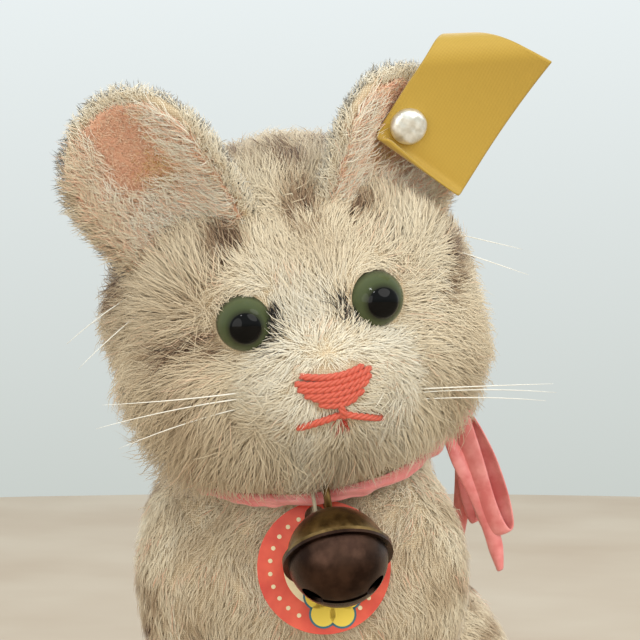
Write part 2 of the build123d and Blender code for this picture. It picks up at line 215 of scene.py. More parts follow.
def thicken(piece, thickness, rounds=0):
    """Makes a closed solid of an open sheet, then subdivides it."""
    solid = piece.modifiers.new("thick", "SOLIDIFY")
    solid.thickness = thickness * MM
    solid.offset = 0
    if rounds:
        smooth = piece.modifiers.new("round", "SUBSURF")
        smooth.levels = smooth.render_levels = rounds
    apply_modifiers(piece)


def mesh_arrays(piece):
    """Points and vertex normals in the row frame in millimetres, and the triangles."""
    mesh = piece.data
    mesh.calc_loop_triangles()
    points = np.empty(len(mesh.vertices) * 3)
    mesh.vertices.foreach_get("co", points)
    normals = np.empty(len(mesh.vertices) * 3)
    mesh.vertices.foreach_get("normal", normals)
    triangles = np.empty(len(mesh.loop_triangles) * 3, np.int32)
    mesh.loop_triangles.foreach_get("vertices", triangles)
    return points.reshape(-1, 3) / MM, normals.reshape(-1, 3), triangles.reshape(-1, 3)


def move_points(piece, points):
    """Gives the piece's points new places, in millimetres."""
    piece.data.vertices.foreach_set("co", (points * MM).astype(np.float32).ravel())
    piece.data.update()


# ---- Patterns that vary smoothly over space ----

def ripple(points, size, seed):
    """Smooth random values, mostly from -1 to 1, that change over about this size."""
    random = np.random.default_rng(seed)
    waves = unit(random.normal(size=(9, 3))) * random.uniform(0.6, 1.5, (9, 1)) * 2 * pi / size
    starts = random.uniform(0, 2 * pi, 9)
    return np.sin(points @ waves.T + starts).sum(axis=1) / 3.2


def fade(values, low, high):
    """0 below low, 1 above high, and a smooth change between them. low may be the larger."""
    share = np.clip((np.asarray(values, float) - low) / (high - low), 0, 1)
    return share * share * (3 - 2 * share)


def streak(points, start, end, half):
    """1 along the line from start to end, fading to 0 at this distance from it."""
    start, span = np.asarray(start), np.subtract(end, start)
    share = np.clip((points - start) @ span / (span @ span), 0, 1)
    return 1 - fade(np.linalg.norm(points - start - np.outer(share, span), axis=1), 0.35 * half, 1.2 * half)


def spot(points, centre, radius):
    """1 at the centre, fading to 0 at the radius."""
    return 1 - fade(np.linalg.norm(points - np.asarray(centre), axis=1), 0.35 * radius, radius)


# ---- Fur: closed three-sided tapered hairs ----

RAMP_KEYS = ((56, 42, 34), (110, 84, 64), (154, 126, 98), (192, 168, 136), (220, 200, 168), (238, 222, 192),
             (248, 240, 220))          # mohair from the darkest marks to the palest tips
RAMP_STEPS = 13
EXTRA_TONES = {"soot": (30, 28, 28), "rose": (222, 160, 130), "peach": (238, 188, 156),
               "blush": (240, 206, 174), "straw": (232, 200, 148), "ochre": (206, 152, 92),
               "red": (200, 44, 32)}
ramp_places = np.linspace(0, len(RAMP_KEYS) - 1, RAMP_STEPS)
ramp_colours = [[np.interp(at, range(len(RAMP_KEYS)), [key[i] for key in RAMP_KEYS]) for i in range(3)]
                for at in ramp_places]
TONE = {name: RAMP_STEPS + number for number, name in enumerate(EXTRA_TONES)}


def fur_material(name, colour):
    return principled(name, srgb(*colour), Roughness=0.6, Sheen_Weight=0.25, Sheen_Roughness=0.4,
                      Specular_IOR_Level=0.3)


fur_materials = [fur_material(f"mohair_{number:02d}", colour) for number, colour in enumerate(ramp_colours)]
fur_materials += [fur_material(f"mohair_{name}", colour) for name, colour in EXTRA_TONES.items()]
LONG_RINGS = (0.0, 0.4, 0.76)          # where along a long hair its rings lie
SHORT_RINGS = (0.0, 0.58)
HEAD_HAIRS, BODY_HAIRS, TAIL_HAIRS = 84000, 96000, 13000
HAIRS_A_PIECE = 12000
FUR_SHARE = 1.0
FLOOR_GAP = 0.25


def sample(piece, count, random):
    """Random points spread evenly over a piece's surface, with their normals."""
    points, normals, triangles = mesh_arrays(piece)
    a, b, c = (points[triangles[:, i]] for i in range(3))
    areas = np.linalg.norm(np.cross(b - a, c - a), axis=1)
    chosen = random.choice(len(triangles), count, p=areas / areas.sum())
    u, v = random.random((2, count, 1))
    over = u + v > 1
    u, v = np.where(over, 1 - u, u), np.where(over, 1 - v, v)
    corners = normals[triangles[chosen]]
    blended = corners[:, 0] * (1 - u - v) + corners[:, 1] * u + corners[:, 2] * v
    return a[chosen] * (1 - u - v) + b[chosen] * u + c[chosen] * v, unit(blended)


def along_skin(vectors, normals):
    """The part of each vector that lies along the skin, at length one."""
    return unit(vectors - (vectors * normals).sum(axis=1, keepdims=True) * normals)


def hair_lines(roots, normals, ways, lengths, lift, curl, rings, random):
    """Points along each hair, which stands up at its root and lies over towards its way."""
    side = np.cross(normals, ways)
    bend = random.normal(size=(len(roots), 1)) * curl
    lines = []
    for t in (*rings, 1.0):
        rise = lift[:, None] * (t - 0.42 * t * t)
        reach = (1 - 0.55 * lift[:, None]) * (0.35 * t + 0.65 * t * t)
        lines.append(roots + lengths[:, None] * (rise * normals + reach * ways + bend * t * t * side))
    return np.stack(lines, axis=1)


def gather(lines, share, strength, random):
    """Draws the hairs' outer ends together into wisps. share is the share of hairs that lead a wisp."""
    roots = lines[:, 0]
    count = len(roots)
    leaders = random.choice(count, max(1, int(count * share)), replace=False)
    tree = KDTree(len(leaders))
    for number, root in enumerate(roots[leaders]):
        tree.insert(root, number)
    tree.balance()
    nearest = leaders[np.array([tree.find(root)[1] for root in roots])]
    steps = lines.shape[1]
    for step in range(1, steps):
        pull = (step / (steps - 1)) ** 1.6 * strength * random.uniform(0.2, 1.0, (count, 1))
        lines[:, step] += (lines[nearest, step] - lines[:, step]) * pull
    return lines


def hair_loops(rings):
    """The corners of one hair's faces, the faces' sizes, and which part of the hair each face is in."""
    loops, sizes, parts = [2, 1, 0], [3], [0]
    for ring in range(rings - 1):
        for corner in range(3):
            a, b = 3 * ring + corner, 3 * ring + (corner + 1) % 3
            loops += [a, b, b + 3, a + 3]
            sizes.append(4)
            parts.append(ring)
    last = 3 * (rings - 1)
    for corner in range(3):
        loops += [last + corner, last + (corner + 1) % 3, last + 3]
        sizes.append(3)
        parts.append(rings - 1)
    return np.array(loops), np.array(sizes), np.array(parts)


def hair_points(lines, skin_normals, width):
    """The corners of each hair's rings and its tip, with shading normals that mostly follow the skin's."""
    count, rings = lines.shape[0], lines.shape[1] - 1
    tangents = unit(np.gradient(lines, axis=1))
    side = unit(np.cross(tangents, skin_normals[:, None, :] + 1e-3))
    other = np.cross(tangents, side)
    points = np.empty((count, 3 * rings + 1, 3))
    shading = np.empty(points.shape)
    for ring in range(rings):
        size = 1 - 0.45 * (ring / rings) ** 1.5
        for corner in range(3):
            turn = 2 * pi * corner / 3 + 0.5
            out = cos(turn) * side[:, ring] + sin(turn) * other[:, ring]
            points[:, 3 * ring + corner] = lines[:, ring] + out * (width * size / 2)[:, None]
            shading[:, 3 * ring + corner] = unit(0.74 * skin_normals + 0.26 * out)
    points[:, -1] = lines[:, -1]
    shading[:, -1] = unit(skin_normals + 0.3 * tangents[:, -1])
    return points, shading


def hair_mesh(name, lines, skin_normals, width, tones, body):
    """One piece of hairs. tones has a tone for each hair's foot, middle and tip."""
    lines[..., 2] = np.maximum(lines[..., 2], FLOOR_GAP)
    points, shading = hair_points(lines, skin_normals, width)
    count, corners = points.shape[:2]
    rings = lines.shape[1] - 1
    loops, sizes, parts = hair_loops(rings)
    starts = np.concatenate(([0], np.cumsum(sizes)[:-1]))
    mesh = bpy.data.meshes.new(name)
    mesh.vertices.add(count * corners)
    mesh.loops.add(count * len(loops))
    mesh.polygons.add(count * len(sizes))
    each = np.arange(count)[:, None]
    mesh.vertices.foreach_set("co", (points * MM).astype(np.float32).ravel())
    mesh.loops.foreach_set("vertex_index", (loops + each * corners).astype(np.int32).ravel())
    mesh.polygons.foreach_set("loop_start", (starts + each * len(loops)).astype(np.int32).ravel())
    mesh.update(calc_edges=True)
    face_tones = tones[:, -rings:][:, parts]
    used = np.unique(face_tones)
    for tone in used:
        mesh.materials.append(fur_materials[tone])
    mesh.polygons.foreach_set("material_index", np.searchsorted(used, face_tones).ravel().astype(np.int32))
    mesh.shade_smooth()
    mesh.normals_split_custom_set_from_vertices(shading.reshape(-1, 3).astype(np.float32))
    return add_piece(mesh, body)


def grow(name, skin, count, style, seed, body, rings=LONG_RINGS):
    """Grows hairs on a skin. style(points, normals, random) gives each hair's values, as a dictionary."""
    random = np.random.default_rng(seed)
    roots, normals = sample(skin, int(count * FUR_SHARE), random)
    values = style(roots, normals, random)
    keep = values.pop("keep")
    roots, normals = roots[keep], normals[keep]
    values = {key: value[keep] if isinstance(value, np.ndarray) else value for key, value in values.items()}
    shape = (values[key] for key in ("way", "length", "lift", "curl"))
    lines = hair_lines(roots, normals, *shape, rings, random)
    lines = gather(lines, values["wisps"], values["draw"], random)
    width = values["width"] * random.uniform(0.7, 1.25, len(roots)) / FUR_SHARE ** 0.5
    pieces = -(-len(roots) // HAIRS_A_PIECE)
    for number in range(pieces):
        part = slice(number, None, pieces)
        tones = values["tones"][part]
        hair_mesh(f"{name}_{number:02d}", lines[part], normals[part], width[part], tones, body)


def ramp_tones(shade, random, spread=0.035):
    """Three tones up each hair from its shade, 0 dark to 1 pale: darker at the foot, partly the coat's own
    grey-brown undertone and partly painted shade deep in the coat, and paler at the tip.
    """
    shade = shade + spread * random.normal(size=len(shade))
    # The foot's step down is partly painted shade: it darkens the coat deep down, where the hairs shade each
    # other.
    steps = np.stack((shade - 0.06, shade, shade + 0.03), axis=1) * (RAMP_STEPS - 1)
    return np.clip(np.round(steps), 0, RAMP_STEPS - 1).astype(int)


def repaint(tones, chance, names, random):
    """Changes some hairs to one of a few named tones, by each hair's chance."""
    chosen = random.random(len(tones)) < chance
    picks = random.choice([TONE[name] for name in names], chosen.sum())
    tones[chosen] = picks[:, None]
    return tones


# ---- The skins under the fur ----

THREADS_PER_M = 2600
THREAD_BUMP = 0.1


def cloth_skin():
    """Woven backing: two crossed sets of threads, with the colour uneven as it is in old plush."""
    material = principled("plush_backing", srgb(214, 190, 150), Roughness=0.85, Sheen_Weight=0.2)
    nodes, links = material.node_tree.nodes, material.node_tree.links
    place = nodes.new("ShaderNodeTexCoord")
    heights = []
    for direction in ("X", "Z"):
        wave = nodes.new("ShaderNodeTexWave")
        wave.bands_direction = direction
        wave.inputs["Scale"].default_value = THREADS_PER_M / 2
        wave.inputs["Distortion"].default_value = 1.5
        links.new(place.outputs["Object"], wave.inputs["Vector"])
        heights.append(wave.outputs["Fac"])
    weave = nodes.new("ShaderNodeMath")
    weave.operation = "MULTIPLY"
    links.new(heights[0], weave.inputs[0])
    links.new(heights[1], weave.inputs[1])
    colours = nodes.new("ShaderNodeValToRGB")
    colours.color_ramp.elements[0].color = srgb(196, 172, 138)
    colours.color_ramp.elements[1].color = srgb(232, 216, 184)
    links.new(weave.outputs[0], colours.inputs["Fac"])
    links.new(colours.outputs["Color"], nodes["Principled BSDF"].inputs["Base Color"])
    add_bump(material, weave.outputs[0], 0.5, THREAD_BUMP)
    return material


backing = cloth_skin()

# The stuffed forms, a little inside their CAD covers: (centre, radii), in the head's place or the row frame.
ROW = Place((0, 0, 0), (1, 0, 0), (0, 0, 1))
SKULL = ((0, -1.5, 15.2), (17.9, 16.2, 16.1))
MUZZLE = ((0, -14.0, 11.8), (9.4, 8.0, 7.0))
CHEEK = ((9.5, -7.5, 11.5), (8.2, 8.5, 8.4))
JAW = ((0, -9.0, 8.4), (13.5, 10.5, 7.2))
HIPS = ((0, 0, 22.0), (20.6, 21.0, 24.6))
CHEST = ((0, -10.5, 44.0), (16.9, 11.6, 17))
SHOULDER = ((-11.0, -12.0, 44.0), (8.2, 9.1, 14.0))
NAPE = ((0, -4.0, 42.5), (13.2, 13.2, 17.7))
PAW = ((8.0, -26.0, 5.2), (5.4, 7.6, 5.0))
HAUNCH = ((17.5, -3.0, 15.2), (7.6, 15.1, 15.0))
HIND_FOOT = ((18.0, -17.5, 5.0), (5.2, 10.0, 4.7))
FORELEG = ((8.5, -18.0, 31.0), (8.0, -22.5, 6.5))
FORELEG_SIZES = (5.8, 4.7)
NECK_SIZES = (12.2, 11.2)
NECK_STEPS = (-7.0, -4.6)              # rings of the neck below its joint
TAIL_R = 3.3
TAIL_ROUTE = [(0, 14, 7.5), (6, 25, 5.6), (19, 25.5, 4.6), (28.6, 14, 4.4), (30.6, 2, 4.4), (29.3, -6, 4.4)]


def mirrored(part, side):
    """A left-hand (centre, radii) on either side."""
    (x, y, z), radii = part
    return (side * x, y, z), radii


def row_of_balls(start, end, sizes, count):
    """Balls along a line that change size evenly."""
    shares = np.linspace(0, 1, count)
    centres = np.outer(1 - shares, start) + np.outer(shares, end)
    return [(ROW, centre, (size,) * 3) for centre, size in zip(centres, np.interp(shares, (0, 1), sizes))]


def curve_points(route, count):
    """Points spread along a smooth curve that is led by the route's points."""
    curve = bpy.data.curves.new("guide", "CURVE")
    curve.dimensions = "3D"
    spline = curve.splines.new("NURBS")
    spline.points.add(len(route) - 1)
    for point, place in zip(spline.points, route):
        point.co = (*place, 1)
    spline.order_u = 4
    spline.use_endpoint_u = True
    spline.resolution_u = 24
    guide = bpy.data.objects.new("guide", curve)
    mesh = bpy.data.meshes.new_from_object(guide)
    points = np.array([v.co for v in mesh.vertices])
    bpy.data.objects.remove(guide)
    bpy.data.curves.remove(curve)
    bpy.data.meshes.remove(mesh)
    steps = np.concatenate(([0], np.cumsum(np.linalg.norm(np.diff(points, axis=0), axis=1))))
    places = np.linspace(0, steps[-1], count)
    return np.stack([np.interp(places, steps, points[:, i]) for i in range(3)], axis=1)


def make_head_skin():
    balls = [(HEAD, *SKULL), (HEAD, *MUZZLE), (HEAD, *JAW)]
    balls += [(HEAD, *mirrored(CHEEK, side)) for side in SIDES.values()]
    skin = joined_form("head_skin", balls, backing, 0.7, 12, "head", "plush_cover")
    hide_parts("head_gusset", "head_left_panel", "head_right_panel")
    return skin


def make_body_skin():
    balls = [(ROW, *part) for part in (HIPS, CHEST, SHOULDER, NAPE)]
    for step, size in zip(NECK_STEPS, NECK_SIZES):
        balls.append((NECK, (0, 0, step), (size, size, 4.0)))
    for side in SIDES.values():
        balls += [(ROW, *mirrored(part, side)) for part in (PAW, HAUNCH, HIND_FOOT)]
        top, foot = ((side * x, y, z) for x, y, z in FORELEG)
        balls += row_of_balls(top, foot, FORELEG_SIZES, 14)
    skin = joined_form("body_skin", balls, backing, 0.8, 10, "root", "plush_cover")
    points, _, _ = mesh_arrays(skin)
    points[:, 2] = np.maximum(points[:, 2], FLOOR_GAP)
    move_points(skin, points)
    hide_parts("belly_panel", "body_left_panel", "body_right_panel")
    return skin


def make_tail_skin():
    centres = curve_points(TAIL_ROUTE, 44)
    sizes = TAIL_R * np.interp(np.linspace(0, 1, 44), (0, 0.9, 1), (1, 1, 0.8))
    balls = [(ROW, centre, (size,) * 3) for centre, size in zip(centres, sizes)]
    skin = joined_form("tail_skin", balls, backing, 0.6, 6, "root", "plush_cover")
    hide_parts("tail_cover", "tail_core")
    return skin, centres


# ---- Coats: how long, which way and what colour the fur is in each place ----

NOSE_AT = np.array((0, -22.0, 14.6))       # in the head's place, as are the next few
EYE_AT = {"left": np.array((6.4, -15.1, 19.7)), "right": np.array((-7.3, -14.6, 19.8))}
EYE_R = 3.0
HEAD_STREAKS = (                           # where each brown streak starts and ends, and its half width
    ((-6.8, -11.2, 26.2), (-4.2, 1.5, 31.0), 1.9), ((0.6, -12.0, 27.2), (1.5, -1.0, 31.3), 1.7),
    ((6.2, -10.4, 27.0), (6.6, 2.0, 30.4), 2.0), ((-10.8, -5.6, 27.2), (-9.2, 3.0, 28.6), 1.6),
    ((-11.0, -14.6, 17.8), (-14.2, -11.4, 16.6), 1.5), ((-16.8, -5.0, 22.4), (-17.4, -0.5, 20.5), 1.8),
    ((13.6, -11.8, 18.6), (16.4, -6.6, 20.0), 1.7), ((14.6, -9.0, 12.6), (16.4, -4.0, 13.0), 1.6),
)
EYE_CORNERS = ((4.3, -17.2, 19.6), (-4.9, -17.0, 19.4))
BROW_TUFT = (11.0, -10.5, 27.0)
BROW_TUFT_R = 7.5
MOUTH_DYE = (0.2, -21.8, 10.4)
SHOULDER_MARK = (-14.0, -18.5, 38.0)       # in the row frame
BODY_BANDS = 8.0                           # from one brown band on the body to the next
TAIL_BANDS = 6.5                           # and on the tail, in steps along its middle line
HEAD_HAIR_W = 0.088                        # widths of one hair
BODY_HAIR_W = 0.10
TAIL_HAIR_W = 0.11
EAR_HAIR_W = 0.08


class HeadZones:
    """Which part of the head each hair grows on: shares from 0 to 1, and distances in millimetres."""

    def __init__(self, local):
        x, y, z = local.T
        self.local, self.count = local, len(local)
        self.from_nose = np.linalg.norm(local - NOSE_AT, axis=1)
        self.toward_eye = np.where((x > 0)[:, None], EYE_AT["left"], EYE_AT["right"]) - local
        self.from_eye = np.linalg.norm(self.toward_eye, axis=1)
        self.tuft = spot(np.column_stack((np.abs(x), y, z)), BROW_TUFT, BROW_TUFT_R)
        self.side = fade(np.abs(x), 5, 13) * fade(z, 26, 16)
        self.fluffy = fade(-x, 5, 13) * fade(z, 30, 26)
        self.chin = fade(z, 9.5, 5.5) * fade(y, 2, -4)
        self.forehead = fade(z, 22, 26) * fade(y, 2, -6)
        self.crown = fade(z, 24.5, 28.5)
        self.crown_top = fade(z, 27.5, 30)
        self.muzzle = fade(self.from_nose, 14, 5)


def head_ways(zones, normals, random):
    """Fur runs away from the nose, down the sides and chin, up at the brows, and aside round the eyes."""
    way = unit(zones.local - (NOSE_AT + (0, 3.0, 1.5))) - np.outer(0.55 * zones.side + 1.1 * zones.chin, UP)
    over_eye = fade(0.3 * np.abs(zones.local[:, 0]) - zones.toward_eye[:, 2], 3.8, 4.8)
    round_eye = (1.6 * over_eye - 0.25) * fade(zones.from_eye, 6.0, 3.4)
    way += np.outer(0.9 * zones.tuft, UP) + round_eye[:, None] * unit(zones.toward_eye)
    way += 0.30 * random.normal(size=way.shape)
    way += 0.42 * np.stack([ripple(zones.local, 8, 11 + i) for i in range(3)], axis=1)
    return along_skin(HEAD.turn(way), normals)


def head_lengths(zones, random):
    """Short round the nose and eyes and on the forehead, long on the cheeks, chin, brows and crown."""
    length = 4.4 - 2.0 * fade(zones.from_nose, 9, 3.5) - 1.7 * zones.forehead * (1 - zones.crown_top)
    length += 1.2 * zones.side + 1.5 * zones.fluffy + 3.8 * zones.chin + 1.2 * zones.crown_top
    length += 2.4 * zones.tuft + 0.35 * ripple(zones.local, 4, 21)
    length *= 1 - 0.6 * fade(zones.from_eye, 5.0, 3.2)
    return length * random.uniform(0.6, 1.12, zones.count)


def head_lifts(zones, random):
    """How far each hair stands up from the skin."""
    lift = 0.42 + 0.18 * zones.side + 0.14 * zones.fluffy + 0.06 * zones.chin
    lift += 0.1 * random.normal(size=zones.count)
    return lift + 0.22 * zones.crown_top + 0.25 * zones.tuft - 0.1 * zones.forehead


def head_keeps(zones, random):
    """No hair grows on the eyes, under the stitches or in the neck, and it is thin on the forehead."""
    x, y, z = zones.local.T
    under_nose = (np.abs(x) < 3.4 - (15.6 - z) * 0.4) & (z < 16.0) & (z > 12.0) & (y < -17)
    on_mouth = (np.abs(z - 11.0 + 0.33 * np.abs(x)) < 0.4) & (np.abs(x) < 4.6) & (y < -15)
    on_neck = (z < 1.2) & (np.hypot(x, y) < 8.5)
    keep = (zones.from_eye > EYE_R + 0.1) & ~under_nose & ~on_mouth & ~on_neck
    bald = 0.35 * zones.forehead * fade(ripple(zones.local, 7, 31), -0.3, 0.5)
    return keep & (random.random(zones.count) > bald)


def head_tones(zones, random):
    """Pale on the muzzle, grey on the cheeks and crown, streaked brown, and dyed at the eyes and mouth."""
    local = zones.local
    x, y, z = local.T
    back_bands = 0.8 * fade(y, 3, 8) * fade(np.cos(2 * pi * (z + ripple(local, 12, 42)) / 8.5), 0.0, 0.8)
    marks = np.zeros(zones.count)
    for start, end, half in HEAD_STREAKS:
        marks = np.maximum(marks, streak(local + 0.5 * ripple(local, 3, 41)[:, None], start, end, half))
    marks *= fade(ripple(local, 2.6, 51), -1.1, 0.1)
    greyed = fade(-x, 5, 13) + 0.4 * fade(x, 9, 15)
    greyed += 0.6 * zones.crown * fade(y, -10, -4) + 0.6 * fade(y, -4, 8)
    shade = 0.80 + 0.11 * zones.muzzle - 0.16 * np.minimum(greyed, 1) + 0.05 * ripple(local, 7, 61)
    shade -= 0.05 * zones.forehead
    shade -= 0.42 * back_bands * fade(ripple(local, 2.5, 62), -1.0, 0.6)
    shade -= 0.66 * marks * random.uniform(0.45, 1.0, zones.count)
    tones = ramp_tones(shade, random)
    warm = 0.10 * fade(ripple(local, 5, 63), 0.1, 0.8) * (1 - zones.crown)
    tones = repaint(tones, warm, ("blush",), random)
    for corner in EYE_CORNERS:
        tones = repaint(tones, 0.95 * spot(local, corner, 2.7), ("soot",), random)
    return repaint(tones, 0.9 * spot(local, MOUTH_DYE, 0.9), ("red",), random)


def head_coat(points, normals, random):
    zones = HeadZones(HEAD.inside(points))
    way = head_ways(zones, normals, random)
    length = head_lengths(zones, random)
    lift = head_lifts(zones, random)
    keep = head_keeps(zones, random)
    return {"way": way, "length": length, "lift": lift, "curl": 0.16, "wisps": 0.07, "draw": 0.5,
            "width": np.full(zones.count, HEAD_HAIR_W), "keep": keep, "tones": head_tones(zones, random)}


def body_tones(points, random):
    """Bands on the back and sides, soft patches on the front, and a brown mark on the right shoulder."""
    x, y, z = points.T
    back = fade(y, -6, 4)
    height = z + 2.2 * ripple(points, 16, 81) - 0.3 * np.abs(x)
    bands = fade(np.cos(2 * pi * height / BODY_BANDS), -0.1, 0.7)
    stripes = bands * np.maximum(back, fade(np.abs(x), 13, 18)) * fade(ripple(points, 5, 82), -0.9, 0.1)
    patches = fade(ripple(points * (1, 1, 0.6), 8, 84), 0.3, 0.9) * fade(np.abs(x), 3, 9)
    shoulder = spot(points, SHOULDER_MARK, 7.5) * fade(ripple(points, 2.8, 86), -0.4, 0.4)
    shade = 0.75 + 0.07 * ripple(points, 6, 87) - 0.08 * back
    shade -= 0.42 * np.clip(stripes + 0.45 * patches, 0, 1) * random.uniform(0.5, 1.0, len(points))
    shade -= 0.45 * shoulder * random.uniform(0.4, 1.0, len(points))
    tones = ramp_tones(shade, random)
    return repaint(tones, 0.16 * fade(ripple(points, 7, 88), 0.0, 0.7), ("blush", "peach"), random)


def body_coat(points, normals, random):
    """The body's fur: shorter than the head's and combed down, or forwards on the feet."""
    on_feet = fade(points[:, 2], 12, 7) * fade(points[:, 1], -8, -16)
    way = -UP + 0.25 * normals + 0.5 * np.outer(on_feet, (0, -1, 0.5))
    way = way + 0.24 * random.normal(size=points.shape)
    way = along_skin(way + 0.5 * np.stack([ripple(points, 11, 71 + i) for i in range(3)], axis=1), normals)
    length = (3.1 - 1.0 * on_feet) * random.uniform(0.6, 1.15, len(points))
    lift = 0.46 + 0.1 * random.normal(size=len(points))
    x, y, z = NECK.inside(points).T
    keep = ~((z > -0.7) & (np.hypot(x, y) < 9.5)) & (points[:, 2] > 0.8)
    keep &= random.random(len(points)) > 0.6 * fade(normals[:, 2], -0.5, -0.9) * (points[:, 2] < 3)
    return {"way": way, "length": length, "lift": lift, "curl": 0.12, "wisps": 0.07, "draw": 0.55,
            "width": np.full(len(points), BODY_HAIR_W), "keep": keep, "tones": body_tones(points, random)}


def tail_coat(centres):
    """The tail's fur, combed to its tip, in pale and brown rings. centres are the tail's middle line."""
    def style(points, normals, random):
        tree = KDTree(len(centres))
        for number, centre in enumerate(centres):
            tree.insert(centre, number)
        tree.balance()
        nearest = np.array([tree.find(point)[1] for point in points])
        along = unit(np.gradient(centres, axis=0))[nearest]
        way = along_skin(along + 0.25 * random.normal(size=points.shape), normals)
        rings = fade(np.cos(2 * pi * nearest / TAIL_BANDS), -0.1, 0.6)
        shade = 0.76 - 0.4 * rings * random.uniform(0.6, 1.0, len(points))
        return {"way": way, "length": random.uniform(1.8, 3.0, len(points)), "curl": 0.1, "wisps": 0.08,
                "lift": 0.36 + 0.08 * random.normal(size=len(points)), "draw": 0.5,
                "width": np.full(len(points), TAIL_HAIR_W), "keep": points[:, 2] > 0.6,
                "tones": ramp_tones(shade, random)}
    return style


# ---- Ears ----

EAR_AT = {"left": (11.4, -4.4, 30.9), "right": (-13.2, -4.4, 34.2)}
EAR_SPLAY = 24.0
EAR_OUT = 20.0
EAR_HALF = {"left": 8.0, "right": 8.4}
EAR_HIGH = 18.6
EAR_SHOULDER = 0.5                     # share of the height above which the ear's outline rounds over
EAR_CUP = {"left": 2.4, "right": 3.4}
EAR_CREAM = {"left": 0.35, "right": 0.6}    # share of cream, in place of peach, on each lining's inner side
EAR_FOOT = 0.86                        # the ear's width at its foot, as a share of its widest
EAR_LEAN = 0.9                         # how far back the tip leans
EAR_ROWS = 17
EAR_COLUMNS = 13
EAR_BACK_LAYER = (0.1, 0.0, 1.0)       # steps back from the ear's middle, hem at its edge, thickness
EAR_LINING_LAYER = (-0.75, 0.9, 0.6)
EAR_HAIRS, NAP_HAIRS = 14000, 18000


def ear_place(name):
    return HEAD.moved(EAR_AT[name], y_turn=SIDES[name] * EAR_SPLAY, z_turn=SIDES[name] * EAR_OUT)


def ear_sheet(name, side_name, step_back, hem, thickness, material, slot):
    """A rounded, cupped ear layer: its edges come forward round a hollow, and its tip leans back."""
    place, widest, cup = ear_place(side_name), EAR_HALF[side_name], EAR_CUP[side_name]
    points = []
    for row in range(EAR_ROWS):
        v = row / (EAR_ROWS - 1)
        over = max(0.0, v - EAR_SHOULDER) / (1 - EAR_SHOULDER)
        foot = EAR_FOOT + (1 - EAR_FOOT) * sin(pi / 2 * min(1.0, 2 * v))
        half = (widest - hem) * (1 - 0.985 * over ** 2.3) ** 0.5 * foot
        for column in range(EAR_COLUMNS):
            u = 2 * column / (EAR_COLUMNS - 1) - 1
            depth = step_back - cup * (u * u) * (half / widest) ** 2 + EAR_LEAN * v * v
            points.append((u * half, depth, (v - 0.5) * (EAR_HIGH - 2 * hem)))
    faces = grid_faces(EAR_ROWS, EAR_COLUMNS)
    piece = mesh_piece(name, place.out(points), faces, material, "head", slot)
    thicken(piece, thickness, 1)
    return piece


def ear_back_coat(name):
    """Fur on an ear's back and edges, combed up and out, with a grey-brown fringe on its outer edge."""
    place, side, half = ear_place(name), SIDES[name], EAR_HALF[name]

    def style(points, normals, random):
        local = place.inside(points)
        front = normals @ place.axes[1] < -0.2
        outer = fade(local[:, 0] * side, 0.4 * half, 0.85 * half)
        rise = np.full(len(points), 3.2)
        way = place.turn(np.column_stack((0.45 * local[:, 0], -0.8 * outer, rise)))
        way = along_skin(way + 1.8 * random.normal(size=points.shape), normals)
        length = random.uniform(1.5, 3.2, len(points)) * (1 - 0.25 * fade(local[:, 2], 0, 8))
        shade = 0.88 - 0.16 * outer - 0.16 * outer * fade(ripple(local, 3.5, 91), -0.3, 0.6)
        inner = np.abs(local[:, 0]) < half - 1.3
        keep = ~(front & inner & (local[:, 2] < EAR_HIGH / 2 - 1.8))
        return {"way": way, "length": length, "lift": 0.58 + 0.12 * random.normal(size=len(points)),
                "curl": 0.2, "wisps": 0.08, "draw": 0.5, "width": np.full(len(points), EAR_HAIR_W),
                "keep": keep, "tones": ramp_tones(shade, random)}
    return style


def ear_lining_coat(name):
    """The lining's nap, peach outside and cream with ochre in the hollow, under long sparse pale fluff."""
    place, side = ear_place(name), SIDES[name]

    def style(points, normals, random):
        local = place.inside(points)
        x, z = side * local[:, 0], local[:, 2]
        front = normals @ place.axes[1] < 0
        foot = fade(z, 0.5, -5.5)
        fluff = np.maximum(0.40 * fade(x, -2.5, -5.0), foot) + 0.8 * fade(x, 2.4, 5.0)
        fluffy = random.random(len(points)) < fluff
        up_and_out = np.column_stack((side * 0.55 * fluffy, 0 * x, 1.2 + fluffy))
        way = random.normal(size=points.shape) * (1 - 0.4 * fluffy)[:, None] + up_and_out
        way = along_skin(place.turn(way), normals)
        length = random.uniform(0.6, 1.1, len(points)) + fluffy * random.uniform(1.0, 3.0, len(points))
        tones = ramp_tones(0.95 - 0.22 * fade(x, 3.5, 6.5) + 0.05 * ripple(local, 4, 95), random)
        tones = repaint(tones, 0.3 * fluffy, ("blush", "peach"), random)
        cream = EAR_CREAM[name] * fade(x, -0.8, -3.5)
        tones = repaint(tones, (1 - cream) * ~fluffy, ("rose", "peach", "peach", "blush"), random)
        tones = repaint(tones, 0.6 * cream * ~fluffy, ("blush", "straw"), random)
        hollow = spot(local, (-side * 1.5, 0, -1.0), 4.5)
        tones = repaint(tones, 0.7 * hollow * ~fluffy, ("ochre", "straw"), random)
        lift = 0.68 + 0.12 * random.normal(size=len(points))
        return {"way": way, "length": length, "lift": lift, "curl": 0.25, "wisps": 0.12, "draw": 0.35,
                "width": np.full(len(points), EAR_HAIR_W), "keep": front, "tones": tones}
    return style


def make_ears():
    pile = principled("ear_backing", srgb(222, 170, 138), Roughness=0.85, Sheen_Weight=0.3)
    for number, name in enumerate(SIDES):
        back = ear_sheet(f"{name}_ear_back_skin", name, *EAR_BACK_LAYER, backing, "plush_cover")
        lining = ear_sheet(f"{name}_ear_lining_skin", name, *EAR_LINING_LAYER, pile, "ear_pile")
        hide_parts(f"{name}_ear_back")
        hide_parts(f"{name}_ear_lining")
        grow(f"{name}_ear_fur", back, EAR_HAIRS, ear_back_coat(name), 300 + number, "head")
        grow(f"{name}_ear_nap", lining, NAP_HAIRS, ear_lining_coat(name), 310 + number, "head",
             SHORT_RINGS)


# ---- Shapes for the small pieces ----

